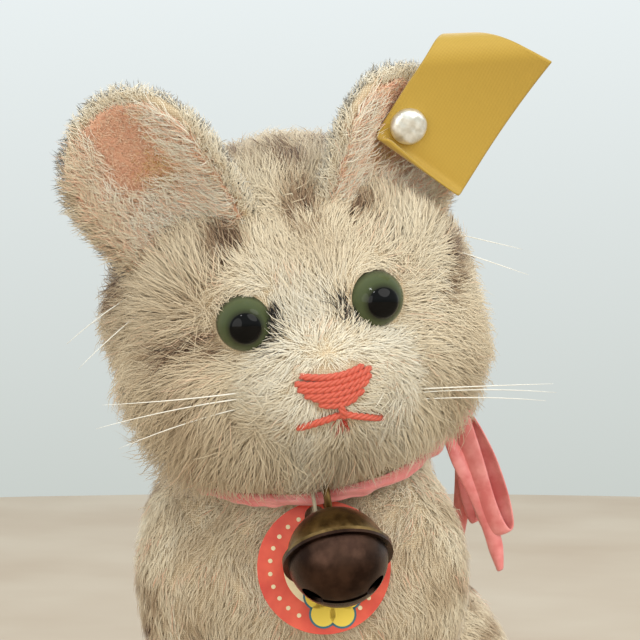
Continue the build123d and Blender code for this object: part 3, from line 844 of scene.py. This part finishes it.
def tube_parts(line, radii, sides=8):
    """Points and faces of one closed tube along a line of points, with a radius at each of them."""
    line = np.asarray(line, float)
    along = unit(np.gradient(line, axis=0))
    side = unit(np.cross(along, (0.31, 0.17, 0.93)))
    other = np.cross(along, side)
    turns = np.linspace(0, 2 * pi, sides, endpoint=False)[None, :, None]
    out = np.cos(turns) * side[:, None] + np.sin(turns) * other[:, None]
    points = (line[:, None] + out * np.asarray(radii, float)[:, None, None]).reshape(-1, 3)
    faces = []
    for step in range(len(line) - 1):
        for corner in range(sides):
            a, b = step * sides + corner, step * sides + (corner + 1) % sides
            faces.append((a, b, b + sides, a + sides))
    faces.append(tuple(range(sides - 1, -1, -1)))
    faces.append(tuple(range(len(points) - sides, len(points))))
    return points, faces


def joined(parts):
    """Many (points, faces) as one."""
    all_points, all_faces, start = [], [], 0
    for points, faces in parts:
        all_points.append(np.asarray(points, float))
        all_faces += [tuple(i + start for i in face) for face in faces]
        start += len(points)
    return np.concatenate(all_points), all_faces


def lathe_parts(profile, turns=48):
    """A round shape about the local Z axis from (radius, height) points, first and last on the axis."""
    angles = np.linspace(0, 2 * pi, turns, endpoint=False)
    around = np.column_stack((np.cos(angles), np.sin(angles), np.zeros(turns)))
    rings = [r * around + (0, 0, z) for r, z in profile[1:-1]]
    points = np.concatenate([[(0, 0, profile[0][1])], *rings, [(0, 0, profile[-1][1])]])
    faces = [tuple(i + 1 for i in face) for face in grid_faces(len(rings), turns, closed=True)]
    last = len(points) - 1
    for corner in range(turns):
        following = (corner + 1) % turns
        faces.append((0, 1 + following, 1 + corner))
        faces.append((last, last - turns + corner, last - turns + following))
    return points, faces


PLY_OUT = 0.5                          # from a strand's middle to each ply's, over the strand's radius
PLY_R = 0.62                           # a ply's radius over the strand's


def plies(line, normals, radius, twist, count=3, steps=60, sides=7):
    """A twisted strand of several plies along a line. twist is the length of one turn."""
    line, normals = np.asarray(line, float), np.asarray(normals, float)
    travel = np.concatenate(([0], np.cumsum(np.linalg.norm(np.diff(line, axis=0), axis=1))))
    at = np.linspace(0, travel[-1], steps)
    middle_line = np.column_stack([np.interp(at, travel, line[:, i]) for i in range(3)])
    up = unit(np.column_stack([np.interp(at, travel, normals[:, i]) for i in range(3)]))
    across = unit(np.cross(np.gradient(middle_line, axis=0), up))
    ends = fade(np.minimum(at, travel[-1] - at), -0.1 * radius, 1.2 * radius)
    strands = []
    for number in range(count):
        turn = (2 * pi * (at / twist + number / count))[:, None]
        offset = PLY_OUT * radius * (np.cos(turn) * across + np.sin(turn) * up) * ends[:, None]
        strands.append(tube_parts(middle_line + offset, PLY_R * radius * (0.35 + 0.65 * ends), sides))
    return strands


def give(node, material):
    """Gives a CAD node a better material."""
    mesh = bpy.data.objects[node].data
    mesh.materials.clear()
    mesh.materials.append(material)


# ---- Eyes ----

EYE_OUT = 8.0
EYE_UP = 10.0
PUPIL_SHARE = 0.178                    # of the way round the ball, from its front to its back
# The last two rings darken the iris to near black towards the ball's sides: painted shade where the fur round
# the eye shades its edge.
IRIS_RINGS = ((0.0, (2, 2, 2)), (PUPIL_SHARE - 0.004, (3, 3, 3)), (PUPIL_SHARE + 0.004, (40, 42, 28)),
              (0.25, (70, 78, 50)), (0.36, (84, 92, 64)), (0.46, (50, 54, 38)), (0.56, (22, 22, 18)))
BALL_RINGS = 48


def eye_glass():
    """Glass over a painted back: a black pupil, an olive iris, and a dark rim where it meets the fur, which
    is painted shade from the fur at the eye's edge.
    """
    material = principled("eye_painted_glass", srgb(92, 104, 76), Roughness=0.04,
                          Specular_IOR_Level=0.16)
    nodes, links = material.node_tree.nodes, material.node_tree.links
    ring = nodes.new("ShaderNodeAttribute")
    ring.attribute_name = "ring"
    colours = nodes.new("ShaderNodeValToRGB")
    while len(colours.color_ramp.elements) < len(IRIS_RINGS):
        colours.color_ramp.elements.new(0.5)
    for element, (place, colour) in zip(colours.color_ramp.elements, IRIS_RINGS):
        element.position = place
        element.color = srgb(*colour)
    links.new(ring.outputs["Fac"], colours.inputs["Fac"])
    links.new(colours.outputs["Color"], nodes["Principled BSDF"].inputs["Base Color"])
    return material


def make_eyes():
    glass = eye_glass()
    polar = np.linspace(0, pi, BALL_RINGS + 1)
    dome = 1 + 0.035 * fade(polar / pi, PUPIL_SHARE + 0.03, PUPIL_SHARE - 0.02)
    profile = [(EYE_R * s * sin(a), EYE_R * s * cos(a)) for a, s in zip(polar, dome)]
    for name, side in SIDES.items():
        look = HEAD.moved(EYE_AT[name], z_turn=side * EYE_OUT, x_turn=90 - EYE_UP)
        points, faces = lathe_parts(profile[::-1], 64)
        ball = mesh_piece(f"{name}_eye_ball", look.out(points), faces, glass, "head", "eye_glass")
        ring = ball.data.attributes.new("ring", "FLOAT", "POINT")
        ring.data.foreach_set("value", np.arccos(np.clip(unit(points)[:, 2], -1, 1)) / pi)
        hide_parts(f"{name}_eye_glass", f"{name}_eye_pupil")


# ---- Nose and mouth, in twisted floss ----

FLOSS_MUZZLE = ((0, -14.0, 11.8), (9.5, 8.2, 7.2))
FLOSS_R = 0.36
FLOSS_TWIST = 2.1                      # length of one turn of the floss
STITCH_SINK = 0.9                      # a stitch's ends go this far into the muzzle
NOSE_ROWS = 6
NOSE_HEIGHTS = (15.2, 12.5)            # the top and bottom rows
NOSE_HALVES = ((0.0, 3.1), (0.2, 3.7), (0.5, 3.5), (1.0, 1.8))     # down the nose, half of a row's length
MOUTH_MIDDLE = 11.2
MOUTH_ENDS = ((4.5, 8.9), (-4.3, 10.0))


def on_muzzle(x, z, off):
    """A point this far off the muzzle's front, and the muzzle's normal there, in the head's place."""
    (_, cy, cz), (rx, ry, rz) = FLOSS_MUZZLE
    y = -ry * (1 - (x / rx) ** 2 - ((z - cz) / rz) ** 2) ** 0.5
    normal = unit((x / rx ** 2, y / ry ** 2, (z - cz) / rz ** 2))
    return np.array((x, cy + y, z)) + off * normal, normal


def stitch(start, end, sag=0.0, lift=0.0):
    """A twisted strand over the muzzle between two (x, z) points. Its middle may sag or lift off."""
    points, normals = [], []
    for share in np.linspace(0, 1, 15):
        x, z = np.asarray(start) * (1 - share) + np.asarray(end) * share
        arch = 4 * share * (1 - share)
        point, normal = on_muzzle(x, z - sag * arch, 0.55 * FLOSS_R + lift * arch)
        points.append(point)
        normals.append(normal)
    ends = [points[0] - STITCH_SINK * normals[0]], [points[-1] - STITCH_SINK * normals[-1]]
    points = np.concatenate((ends[0], points, ends[1]))
    normals = np.concatenate((normals[:1], normals, normals[-1:]))
    return plies(HEAD.out(points), HEAD.turn(normals), FLOSS_R, FLOSS_TWIST)


def make_stitches():
    floss = principled("coral_floss", srgb(202, 90, 68), Roughness=0.5, Sheen_Weight=0.25,
                       Sheen_Roughness=0.3)
    random = np.random.default_rng(401)
    strands = []
    for row in range(NOSE_ROWS):
        share = row / (NOSE_ROWS - 1)
        z = NOSE_HEIGHTS[0] + (NOSE_HEIGHTS[1] - NOSE_HEIGHTS[0]) * share
        half = np.interp(share, *zip(*NOSE_HALVES))
        left, right = half + random.uniform(-0.15, 0.15, 2)
        tilt = random.uniform(-0.12, 0.12)
        strands += stitch((-left, z - tilt), (right, z + tilt), sag=0.30, lift=0.12)
    nose = mesh_piece("nose_floss", *joined(strands), floss, "head", "floss")
    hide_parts("nose_stitches")
    strands = stitch((0.1, NOSE_HEIGHTS[1] - 0.2), (0.3, MOUTH_MIDDLE - 0.5), lift=0.2)
    for x, z in MOUTH_ENDS:
        strands += stitch((0.3 - 0.06 * x, MOUTH_MIDDLE - 0.1), (x, z), sag=-0.15, lift=0.1)
    mouth = mesh_piece("mouth_floss", *joined(strands), floss, "head", "floss")
    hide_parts("mouth_stitches")


# ---- Whiskers ----

WHISKERS = {                               # from the skin to the tip, in the head's place
    "left": [((7.0, -17.2, 9.9), (23.5, -18.0, 7.2)), ((7.4, -16.9, 9.2), (24.0, -17.0, 5.6)),
             ((7.0, -16.9, 8.5), (23.0, -16.0, 4.4)), ((15.0, -6.0, 20.5), (24.5, -8.0, 15.5)),
             ((15.2, -4.0, 21.5), (25.0, -4.5, 17.0))],
    "right": [((-6.0, -17.5, 13.2), (-23.5, -18.5, 15.8)), ((-6.4, -17.3, 12.4), (-24.5, -17.0, 12.6)),
              ((-6.2, -17.2, 11.6), (-22.5, -16.5, 9.6)), ((-15.0, -6.0, 20.5), (-24.5, -8.0, 15.5)),
              ((-15.2, -4.0, 21.5), (-25.0, -4.5, 17.0))],
}
WHISKER_RADII = (0.085, 0.08, 0.065, 0.045, 0.02)
WHISKER_STEPS = 13


def make_whiskers():
    gut = principled("whisker_gut", srgb(238, 234, 222), Roughness=0.25, Coat_Weight=0.3)
    shares = np.linspace(0, 1, WHISKER_STEPS)
    radii = np.interp(shares, np.linspace(0, 1, len(WHISKER_RADII)), WHISKER_RADII)
    for number, (name, lines) in enumerate(WHISKERS.items()):
        random = np.random.default_rng(410 + number)
        hairs = []
        for start, end in np.array(lines):
            bow = random.uniform(-0.6, 0.9)
            line = [start * (1 - t) + end * t + bow * 4 * t * (1 - t) * np.array((0, -0.5, 0.8))
                    for t in shares]
            hairs.append(tube_parts(HEAD.out(line), radii, 6))
        piece = mesh_piece(f"{name}_whisker_hairs", *joined(hairs), gut, "head", "whisker")
        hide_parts(f"{name}_whiskers")


# ---- The label and its rivet, in the left ear ----

RIVET_RAISE = 4.2                      # above the ear's middle
LABEL_OFF = 2.3                        # in front of the ear's middle, at the rivet
LABEL_FACING = -22.0                   # turned this far from the ear's own facing, towards the face
LABEL_TURN = 15.0
LABEL_ALONG = (-4.4, 13.4)             # from the rivet to the label's two ends
LABEL_ACROSS = (-2.5, 9.0)             # and to its two edges
LABEL_T = 0.26
LABEL_CURL_AT = 6.4                    # where the far corner starts to curl back
LABEL_CURL_WAY = (0.83, -0.55)         # along and across the label, square to the curl
LABEL_CURL_R = 2.6
LABEL_FOOT_R = 1.6                     # of the outline's two corners at the foot
LABEL_ROLL_AT = -1.9                   # below this the foot rolls forward
LABEL_ROLL_SLANT = 0.12
LABEL_ROLL_R = 0.9
LABEL_LIFT = 0.012                     # off the ear, for each square millimetre along
LABEL_THREAD = 0.2                     # from one thread to the next
LABEL_ROWS, LABEL_COLUMNS = 72, 48
RIVET_R = 1.95
RIVET_DOME = 0.95


def label_cloth():
    """Golden close-woven tape: fine threads both ways, a little darker between them."""
    material = principled("label_weave", srgb(232, 184, 52), Roughness=0.62, Sheen_Weight=0.2)
    nodes, links = material.node_tree.nodes, material.node_tree.links
    place = nodes.new("ShaderNodeAttribute")
    place.attribute_name = "along_across"
    split = nodes.new("ShaderNodeSeparateXYZ")
    links.new(place.outputs["Vector"], split.inputs[0])
    threads = []
    for axis in ("X", "Y"):
        scaled = nodes.new("ShaderNodeMath")
        scaled.operation = "MULTIPLY"
        scaled.inputs[1].default_value = 2 * pi / LABEL_THREAD
        links.new(split.outputs[axis], scaled.inputs[0])
        wave = nodes.new("ShaderNodeMath")
        wave.operation = "SINE"
        links.new(scaled.outputs[0], wave.inputs[0])
        threads.append(wave.outputs[0])
    weave = nodes.new("ShaderNodeMath")
    weave.operation = "MULTIPLY"
    links.new(threads[0], weave.inputs[0])
    links.new(threads[1], weave.inputs[1])
    fac = nodes.new("ShaderNodeMapRange")
    fac.inputs["From Min"].default_value = -1.0
    links.new(weave.outputs[0], fac.inputs["Value"])
    colours = nodes.new("ShaderNodeValToRGB")
    colours.color_ramp.elements[0].color = srgb(168, 132, 38)
    colours.color_ramp.elements[1].color = srgb(200, 166, 66)
    links.new(fac.outputs["Result"], colours.inputs["Fac"])
    links.new(colours.outputs["Color"], nodes["Principled BSDF"].inputs["Base Color"])
    add_bump(material, fac.outputs["Result"], 0.35, 0.05)
    return material


def label_point(along, across):
    """Where a spot of the label lies. It lifts off the ear, a corner curls back, its foot rolls forward."""
    way = np.array(LABEL_CURL_WAY)
    past = along * way[0] + across * way[1] - LABEL_CURL_AT
    out = LABEL_LIFT * max(0.0, along) ** 2
    below = LABEL_ROLL_AT - LABEL_ROLL_SLANT * across - along
    if below > 0:
        angle = below / LABEL_ROLL_R
        along += below - LABEL_ROLL_R * sin(angle)
        out += LABEL_ROLL_R * (1 - cos(angle))
    if past > 0:
        angle = past / LABEL_CURL_R
        back = LABEL_CURL_R * sin(angle) - past
        along, across = along + way[0] * back, across + way[1] * back
        out -= LABEL_CURL_R * (1 - cos(angle))
    return along, across, out


def label_edge(along, across):
    """Rounds the foot's two corners of the label's outline, and leaves its other two square."""
    low, left, right = LABEL_ALONG[0], *LABEL_ACROSS
    reach = along - low
    if reach < LABEL_FOOT_R:
        inset = LABEL_FOOT_R - (LABEL_FOOT_R ** 2 - (LABEL_FOOT_R - reach) ** 2) ** 0.5
        share = (across - left) / (right - left)
        across = left + 0.8 * inset + share * (right - left - 1.15 * inset)
    return across


def make_label():
    ear = ear_place("left")
    place = ear.moved((0, -LABEL_OFF, RIVET_RAISE), z_turn=LABEL_FACING)
    turn = radians(LABEL_TURN)
    up, aside = np.array((sin(turn), 0, cos(turn))), np.array((cos(turn), 0, -sin(turn)))
    points, flat = [], []
    for along in np.linspace(*LABEL_ALONG, LABEL_ROWS):
        for share in np.linspace(0, 1, LABEL_COLUMNS):
            across = label_edge(along, LABEL_ACROSS[0] + share * (LABEL_ACROSS[1] - LABEL_ACROSS[0]))
            s, w, out = label_point(along, across)
            points.append(s * up + w * aside - out * np.array((0, 1, 0)))
            flat.append((along, across, 0))
    sheet = mesh_piece("ear_label_tape", place.out(points), grid_faces(LABEL_ROWS, LABEL_COLUMNS)[::-1],
                       label_cloth(), "head", "label_cloth")
    spots = sheet.data.attributes.new("along_across", "FLOAT_VECTOR", "POINT")
    spots.data.foreach_set("vector", np.array(flat, np.float32).ravel())
    thicken(sheet, LABEL_T)
    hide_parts("ear_label")
    make_rivet(place)


def make_rivet(place):
    """A hammered dome over the label, with a small step at its rim."""
    silver = principled("hammered_rivet", srgb(234, 233, 224), Metallic=0.75, Roughness=0.36)
    shares = np.linspace(0, 1, 13)
    dome = [(RIVET_R * sin(a * pi / 2), RIVET_DOME * cos(a * pi / 2) ** 0.8 + 0.35) for a in shares[1:]]
    profile = [(0, -0.2), (RIVET_R * 0.94, -0.2), (RIVET_R, 0.0)] + dome[::-1] + [(0, RIVET_DOME + 0.35)]
    points, faces = lathe_parts(profile)
    points[:, 2] += 0.05 * ripple(points * (1, 1, 0), 1.1, 421) * (points[:, 2] > 0.3)
    facing = place.moved((0, 0, 0), x_turn=90)
    piece = mesh_piece("ear_rivet_dome", facing.out(points), faces, silver, "head", "rivet")
    noise = noisy(silver, srgb(214, 212, 202), srgb(246, 246, 240), 0.8)
    add_bump(silver, noise.outputs["Fac"], 0.4, 0.08)
    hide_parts("ear_rivet")


# ---- Ribbon ----

COLLAR_R = 15.1
COLLAR_DROP = 1.7
COLLAR_W = 1.5
RIBBON_T = 0.22
BOW_FACING = 22.0
BOW_HANG_AT = (0.5, 1.2, -0.6)         # from the knot's middle: out, to each side, and up
BOW_LEAN = 14.0                        # the loops and streamers lean this far out from the body
BOW_SPREAD = 3.0                       # the front pair leans this much more, and the rear pair less
LOOP_TWIST = 58.0                      # the loops turn to show their faces
LOOPS = (("front", -1, 13.6, 16.6), ("rear", 1, 12.4, 12.5))    # side, loop length, streamer length
LOOP_W = 3.0
STREAMER_W = 1.9
STRIP_CUP = 0.35                       # how far a strip's middle stands above its edges
STRIP_COLUMNS = 9
COLLAR_ROWS, COLLAR_COLUMNS = 240, 7
KNOT_HALF, KNOT_R = 1.9, 1.75
SATIN_GRAINS_PER_M = 9000


def satin_ribbon():
    material = principled("satin_pink", srgb(228, 134, 128), Roughness=0.4, Sheen_Weight=0.4,
                          Anisotropic=0.6)
    noise = noisy(material, srgb(216, 112, 108), srgb(236, 152, 146), 2.5)
    noise.inputs["Roughness"].default_value = 0.6
    fine = material.node_tree.nodes.new("ShaderNodeTexNoise")
    fine.inputs["Scale"].default_value = SATIN_GRAINS_PER_M
    add_bump(material, fine.outputs["Fac"], 0.15, 0.05)
    return material


def strip_piece(name, lines, widths, faces_to, satin, node):
    """A ribbon strip along a line: widths across it, in the directions faces_to, with cupped edges."""
    lines, across = np.asarray(lines, float), unit(faces_to)
    normal = unit(np.cross(np.gradient(lines, axis=0), across))
    points = []
    for spot_on, side, out, width in zip(lines, across, normal, widths):
        for share in np.linspace(-0.5, 0.5, STRIP_COLUMNS):
            points.append(spot_on + share * width * side + STRIP_CUP * (1 - 4 * share * share) * out)
    faces = grid_faces(len(lines), STRIP_COLUMNS)
    piece = mesh_piece(name, points, faces, satin, "root", "satin")
    thicken(piece, RIBBON_T, 1)
    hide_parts(node)
    return piece


def make_collar(satin):
    turns = np.linspace(0, 2 * pi, COLLAR_ROWS, endpoint=False)
    waves = ripple(np.column_stack((np.cos(turns), np.sin(turns), 0 * turns)) * COLLAR_R, 3.0, 431)
    points = []
    for turn, wave in zip(turns, waves):
        for share in np.linspace(-0.5, 0.5, COLLAR_COLUMNS):
            fold = 0.16 * sin(11 * turn + 9 * share) + 0.12 * wave
            radius = COLLAR_R + fold + 0.25 * (1 - 4 * share * share)
            height = -COLLAR_DROP + share * COLLAR_W * (1 + 0.12 * wave)
            points.append((radius * sin(turn), -radius * cos(turn), height))
    faces = grid_faces(COLLAR_ROWS, COLLAR_COLUMNS)
    last = (COLLAR_ROWS - 1) * COLLAR_COLUMNS
    faces += [(last + i, last + i + 1, i + 1, i) for i in range(COLLAR_COLUMNS - 1)]
    collar = mesh_piece("ribbon_collar_strip", NECK.out(points), faces, satin, "root", "satin")
    thicken(collar, RIBBON_T, 1)
    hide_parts("ribbon_collar")


def make_knot(satin):
    """A soft pinched cushion with folds across it."""
    facing = radians(BOW_FACING)
    place = Place(box_middle("ribbon_knot"), (cos(facing), sin(facing), 0), UP)
    round_it = np.linspace(0.15, pi - 0.15, 21)
    profile = [(KNOT_R * sin(a) ** 0.7, -KNOT_HALF * cos(a)) for a in round_it]
    points, faces = lathe_parts([(0, -KNOT_HALF), *profile, (0, KNOT_HALF)], 40)
    turn = np.arctan2(points[:, 1], points[:, 0])
    points[:, :2] *= (1 + 0.07 * np.sin(5 * turn + 1.6 * points[:, 2]))[:, None]
    points = place.out(points * (0.95, 0.85, 1.0))
    knot = mesh_piece("ribbon_knot_folds", points, faces, satin, "root", "satin")
    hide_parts("ribbon_knot")
    return place


def make_loop(name, way, length, hang, twist, satin):
    """A loop of ribbon that hangs from the knot and comes back to it."""
    turns = np.linspace(0, 2 * pi, 57)[3:-3]
    line = [(-0.75 * sin(t) * (1 - 0.35 * cos(t)), 0.4 * way, -length / 2 * (1 - cos(t))) for t in turns]
    across = [(sin(twist), cos(twist) * way, 0.0)] * len(line)
    widths = LOOP_W * (0.5 + 0.5 * fade(np.minimum(turns, 2 * pi - turns), 0.1, 1.6))
    strip_piece(f"{name}_bow_loop_strip", hang.out(line), widths, hang.turn(across), satin,
                f"{name}_bow_loop")


def make_streamer(name, way, length, hang, twist, satin):
    """A loose end of ribbon that hangs from the knot, waves a little and narrows to its end."""
    shares = np.linspace(0, 1, 25)
    line = [(-1.8 + 0.9 * sin(3.4 * t + way), 0.5 * way + 0.5 * t, -1.2 - length * t) for t in shares]
    across = [(sin(twist + 0.8 * t), cos(twist + 0.8 * t), 0.1) for t in shares]
    widths = STREAMER_W * np.interp(shares, (0, 0.2, 0.85, 1), (0.6, 1, 0.9, 0.35))
    strip_piece(f"{name}_streamer_strip", hang.out(line), widths, hang.turn(across), satin,
                f"{name}_streamer")


def make_bow(satin):
    place = make_knot(satin)
    twist = radians(LOOP_TWIST)
    for name, way, loop_length, streamer_length in LOOPS:
        out, aside, up = BOW_HANG_AT
        hang = place.moved((out, way * aside, up), y_turn=BOW_SPREAD * way - BOW_LEAN)
        make_loop(name, way, loop_length, hang, twist, satin)
        make_streamer(name, way, streamer_length, hang, twist, satin)


def make_ribbon():
    satin = satin_ribbon()
    make_collar(satin)
    make_bow(satin)


# ---- Bell and tag ----

TAG_T = 0.5
PRINT_T = 0.03
TAG_CENTRE_R = 4.3
TAG_DOTS = 26
TAG_DOTS_R = 5.75
DOTS_STOP = 0.9                        # the ring of dots is open where the cosine of its turn passes this
FLOWER_AT = (0.9, -3.6)               # from the tag's middle, across and up
PETALS = 5
PETAL_R = 1.3
PETALS_OUT = 1.7
PETAL_EDGE = 0.22                      # width of the blue line round each petal
FLOWER_EYE_R = 0.5
DOT_R = 0.24
PATINA_SIZE = 2.2
BRASS_GRAINS_PER_M = 2600


def aged_brass(name, dark, pale, rough):
    material = principled(name, pale, Metallic=1.0, Roughness=rough)
    noisy(material, dark, pale, PATINA_SIZE, detail=6.0, low=0.38, high=0.62)
    fine = material.node_tree.nodes.new("ShaderNodeTexNoise")
    fine.inputs["Scale"].default_value = BRASS_GRAINS_PER_M
    add_bump(material, fine.outputs["Fac"], 0.25, 0.03)
    return material


def make_bell():
    give("bell_upper_shell", aged_brass("brass_olive", srgb(80, 62, 36), srgb(142, 116, 74), 0.36))
    give("bell_lower_shell", aged_brass("brass_brown", srgb(48, 34, 28), srgb(74, 54, 44), 0.3))
    give("bell_shank", aged_brass("brass_wire", srgb(70, 52, 30), srgb(150, 120, 72), 0.4))
    give("bell_pellet", principled("pellet_iron", srgb(110, 108, 104), Metallic=1.0, Roughness=0.4))


def disc_parts(centre, radius, height, turns=40):
    """A thin round print on the tag, with its face at the height."""
    low = height - PRINT_T
    points, faces = lathe_parts([(0, low), (radius, low), (radius, height), (0, height)], turns)
    return points + (*centre, 0), faces


def make_tag():
    """The card keeps its CAD shape. Its pale middle, dots and flower are thin prints on its face."""
    swing = np.array(JOINTS["tag_swing"]["axis"])
    face = Place(box_middle("tag_card"), np.cross(UP, swing), swing)
    top = TAG_T / 2 + PRINT_T
    red = principled("card_red", srgb(226, 76, 48), Roughness=0.42, Coat_Weight=0.25)
    noisy(red, srgb(212, 62, 38), srgb(236, 92, 62), 3.0)
    give("tag_card", red)
    cream = principled("card_cream", srgb(240, 222, 178), Roughness=0.5)
    blue = principled("card_blue", srgb(52, 108, 122), Roughness=0.5)
    yellow = principled("card_yellow", srgb(238, 206, 74), Roughness=0.5)
    middle_disc = disc_parts((0, 0), TAG_CENTRE_R, top, 96)
    turns = np.linspace(0, 2 * pi, TAG_DOTS, endpoint=False)
    dots = [disc_parts((TAG_DOTS_R * sin(t), TAG_DOTS_R * cos(t)), DOT_R, top, 12) for t in turns
            if abs(cos(t)) < DOTS_STOP]
    petal_turns = np.linspace(0, 2 * pi, PETALS, endpoint=False)
    petals = [(FLOWER_AT[0] + PETALS_OUT * sin(t), FLOWER_AT[1] + PETALS_OUT * cos(t)) for t in petal_turns]
    edges = [disc_parts(p, PETAL_R + PETAL_EDGE, top + PRINT_T) for p in petals]
    prints = {"tag_pale_print": (cream, [middle_disc] + dots),
              "tag_flower_edge_print": (blue, edges),
              "tag_flower_print": (yellow, [disc_parts(p, PETAL_R, top + 2 * PRINT_T) for p in petals]),
              "tag_flower_eye_print": (blue, [disc_parts(FLOWER_AT, FLOWER_EYE_R, top + 3 * PRINT_T)])}
    for name, (ink, parts) in prints.items():
        points, faces = joined(parts)
        mesh_piece(name, face.out(points), faces, ink, "tag", "tag_card", smooth=False)


# ---- Pieces that keep their CAD shape ----

def finish_hidden_pieces():
    wool = principled("wood_wool", srgb(214, 196, 158), Roughness=0.9)
    add_bump(wool, noisy(wool, srgb(190, 168, 126), srgb(232, 216, 182), 1.2).outputs["Fac"], 0.8, 0.6)
    board = principled("pressed_board", srgb(150, 116, 80), Roughness=0.8)
    add_bump(board, noisy(board, srgb(132, 100, 66), srgb(170, 134, 94), 1.5).outputs["Fac"], 0.3, 0.1)
    steel = principled("zinc_wire", srgb(178, 178, 176), Metallic=1.0, Roughness=0.38)
    linen = principled("linen_thread", srgb(176, 164, 138), Roughness=0.7, Sheen_Weight=0.2)
    plate = principled("rivet_plate", srgb(214, 213, 204), Metallic=1.0, Roughness=0.35)
    kept = {wool: ("body_stuffing", "head_stuffing"), board: ("body_joint_disc", "head_joint_disc"),
            steel: ("body_joint_washer", "head_joint_washer", "split_pin", "left_eye_wire", "right_eye_wire"),
            linen: ("body_gather_thread", "head_gather_thread", "tag_thread"), plate: ("rivet_back_plate",)}
    for material, nodes in kept.items():
        for node in nodes:
            give(node, material)


# ---- The floor, the light and the camera ----

CAMERA_TURN = 20.05                    # the camera stands this far to the cat's left of its front, degrees
CAMERA_RISE = 3.7
CAMERA_AWAY = 346.2
CAMERA_ASIDE = 1.2                     # the neck joint is this far left of the middle of the view
CAMERA_ABOVE = 11.1                    # and this far below it
CAMERA_LENS = 177.2
FLOOR_R = 430.0
FLOOR_SIDES = 96
BACKDROP_FADE = (-0.13, 0.05)          # the backdrop's colour changes between these slopes of the view
LIGHTS = (                             # place from the neck: to the camera, right, up; size; watts; colour
    ("key", (330, 260, 240), 420, 1.25, (1.0, 0.98, 0.94)),
    ("window", (300, -110, 260), 50, 0.16, (1.0, 1.0, 1.0)),
    ("fill", (330, -200, -10), 300, 0.45, (1.0, 0.97, 0.92)),
    ("rim", (-330, 60, 380), 300, 0.9, (1.0, 1.0, 1.0)),
)


def make_camera():
    turn, rise = radians(CAMERA_TURN), radians(CAMERA_RISE)
    back = np.array((sin(turn) * cos(rise), -cos(turn) * cos(rise), sin(rise)))
    right = np.array((cos(turn), sin(turn), 0.0))
    above = np.cross(back, right)
    camera = bpy.data.objects.new("camera", bpy.data.cameras.new("camera"))
    camera.data.lens = CAMERA_LENS
    camera.data.clip_start, camera.data.clip_end = 0.01, 10.0
    spot_at = NECK.origin + CAMERA_AWAY * back + CAMERA_ASIDE * right + CAMERA_ABOVE * above
    facing = Vector(-back).to_track_quat("-Z", "Y")
    camera.matrix_world = Matrix.LocRotScale(Vector(spot_at * MM), facing, None)
    bpy.context.scene.collection.objects.link(camera)
    bpy.context.scene.camera = camera
    return back, right


def area_light(name, place, target, size, power, colour):
    light = bpy.data.objects.new(name, bpy.data.lights.new(name, "AREA"))
    light.data.shape = "DISK"
    light.data.size = size * MM
    light.data.energy = power
    light.data.color = colour
    facing = Vector((np.asarray(target) - place) * MM).to_track_quat("-Z", "Y")
    light.matrix_world = Matrix.LocRotScale(Vector(np.asarray(place) * MM), facing, None)
    bpy.context.scene.collection.objects.link(light)


def make_floor():
    turns = np.linspace(0, 2 * pi, FLOOR_SIDES, endpoint=False)
    rim = np.column_stack((FLOOR_R * np.cos(turns), FLOOR_R * np.sin(turns), 0 * turns)) * MM
    mesh = bpy.data.meshes.new("floor")
    mesh.from_pydata([tuple(p) for p in rim], [], [tuple(range(FLOOR_SIDES))])
    wood = principled("floor_pale", srgb(172, 156, 136), Roughness=0.6)
    noisy(wood, srgb(172, 154, 132), srgb(184, 170, 150), 45.0, low=0.3, high=0.7)
    mesh.materials.append(wood)
    floor = bpy.data.objects.new("floor", mesh)
    bpy.context.scene.collection.objects.link(floor)


def make_backdrop():
    """A pale sky that is brighter above."""
    world = bpy.data.worlds.new("backdrop")
    bpy.context.scene.world = world
    world.use_nodes = True
    nodes, links = world.node_tree.nodes, world.node_tree.links
    place = nodes.new("ShaderNodeTexCoord")
    split = nodes.new("ShaderNodeSeparateXYZ")
    colours = nodes.new("ShaderNodeValToRGB")
    height = nodes.new("ShaderNodeMapRange")
    height.inputs["From Min"].default_value, height.inputs["From Max"].default_value = BACKDROP_FADE
    colours.color_ramp.elements[0].color = srgb(200, 206, 201)
    colours.color_ramp.elements[1].color = srgb(236, 243, 244)
    links.new(place.outputs["Generated"], split.inputs[0])
    links.new(split.outputs["Z"], height.inputs["Value"])
    links.new(height.outputs["Result"], colours.inputs["Fac"])
    links.new(colours.outputs["Color"], nodes["Background"].inputs["Color"])
    nodes["Background"].inputs["Strength"].default_value = 1.0


def make_lights(back, right):
    """Large soft lights, and one small window light that shows in the eyes."""
    target = NECK.origin
    for name, (away, aside, above), size, power, colour in LIGHTS:
        area_light(name, target + away * back + aside * right + above * UP, target, size, power, colour)


camera_back, camera_right = make_camera()
bpy.context.scene.view_settings.view_transform = "Standard"
make_floor()
make_backdrop()
make_lights(camera_back, camera_right)
head_skin = make_head_skin()
body_skin = make_body_skin()
tail_skin, tail_line = make_tail_skin()
grow("head_fur", head_skin, HEAD_HAIRS, head_coat, 101, "head")
grow("body_fur", body_skin, BODY_HAIRS, body_coat, 102, "root", rings=SHORT_RINGS)
grow("tail_fur", tail_skin, TAIL_HAIRS, tail_coat(tail_line), 103, "root", rings=SHORT_RINGS)
make_ears()
make_eyes()
make_stitches()
make_whiskers()
make_label()
make_ribbon()
make_bell()
make_tag()
finish_hidden_pieces()
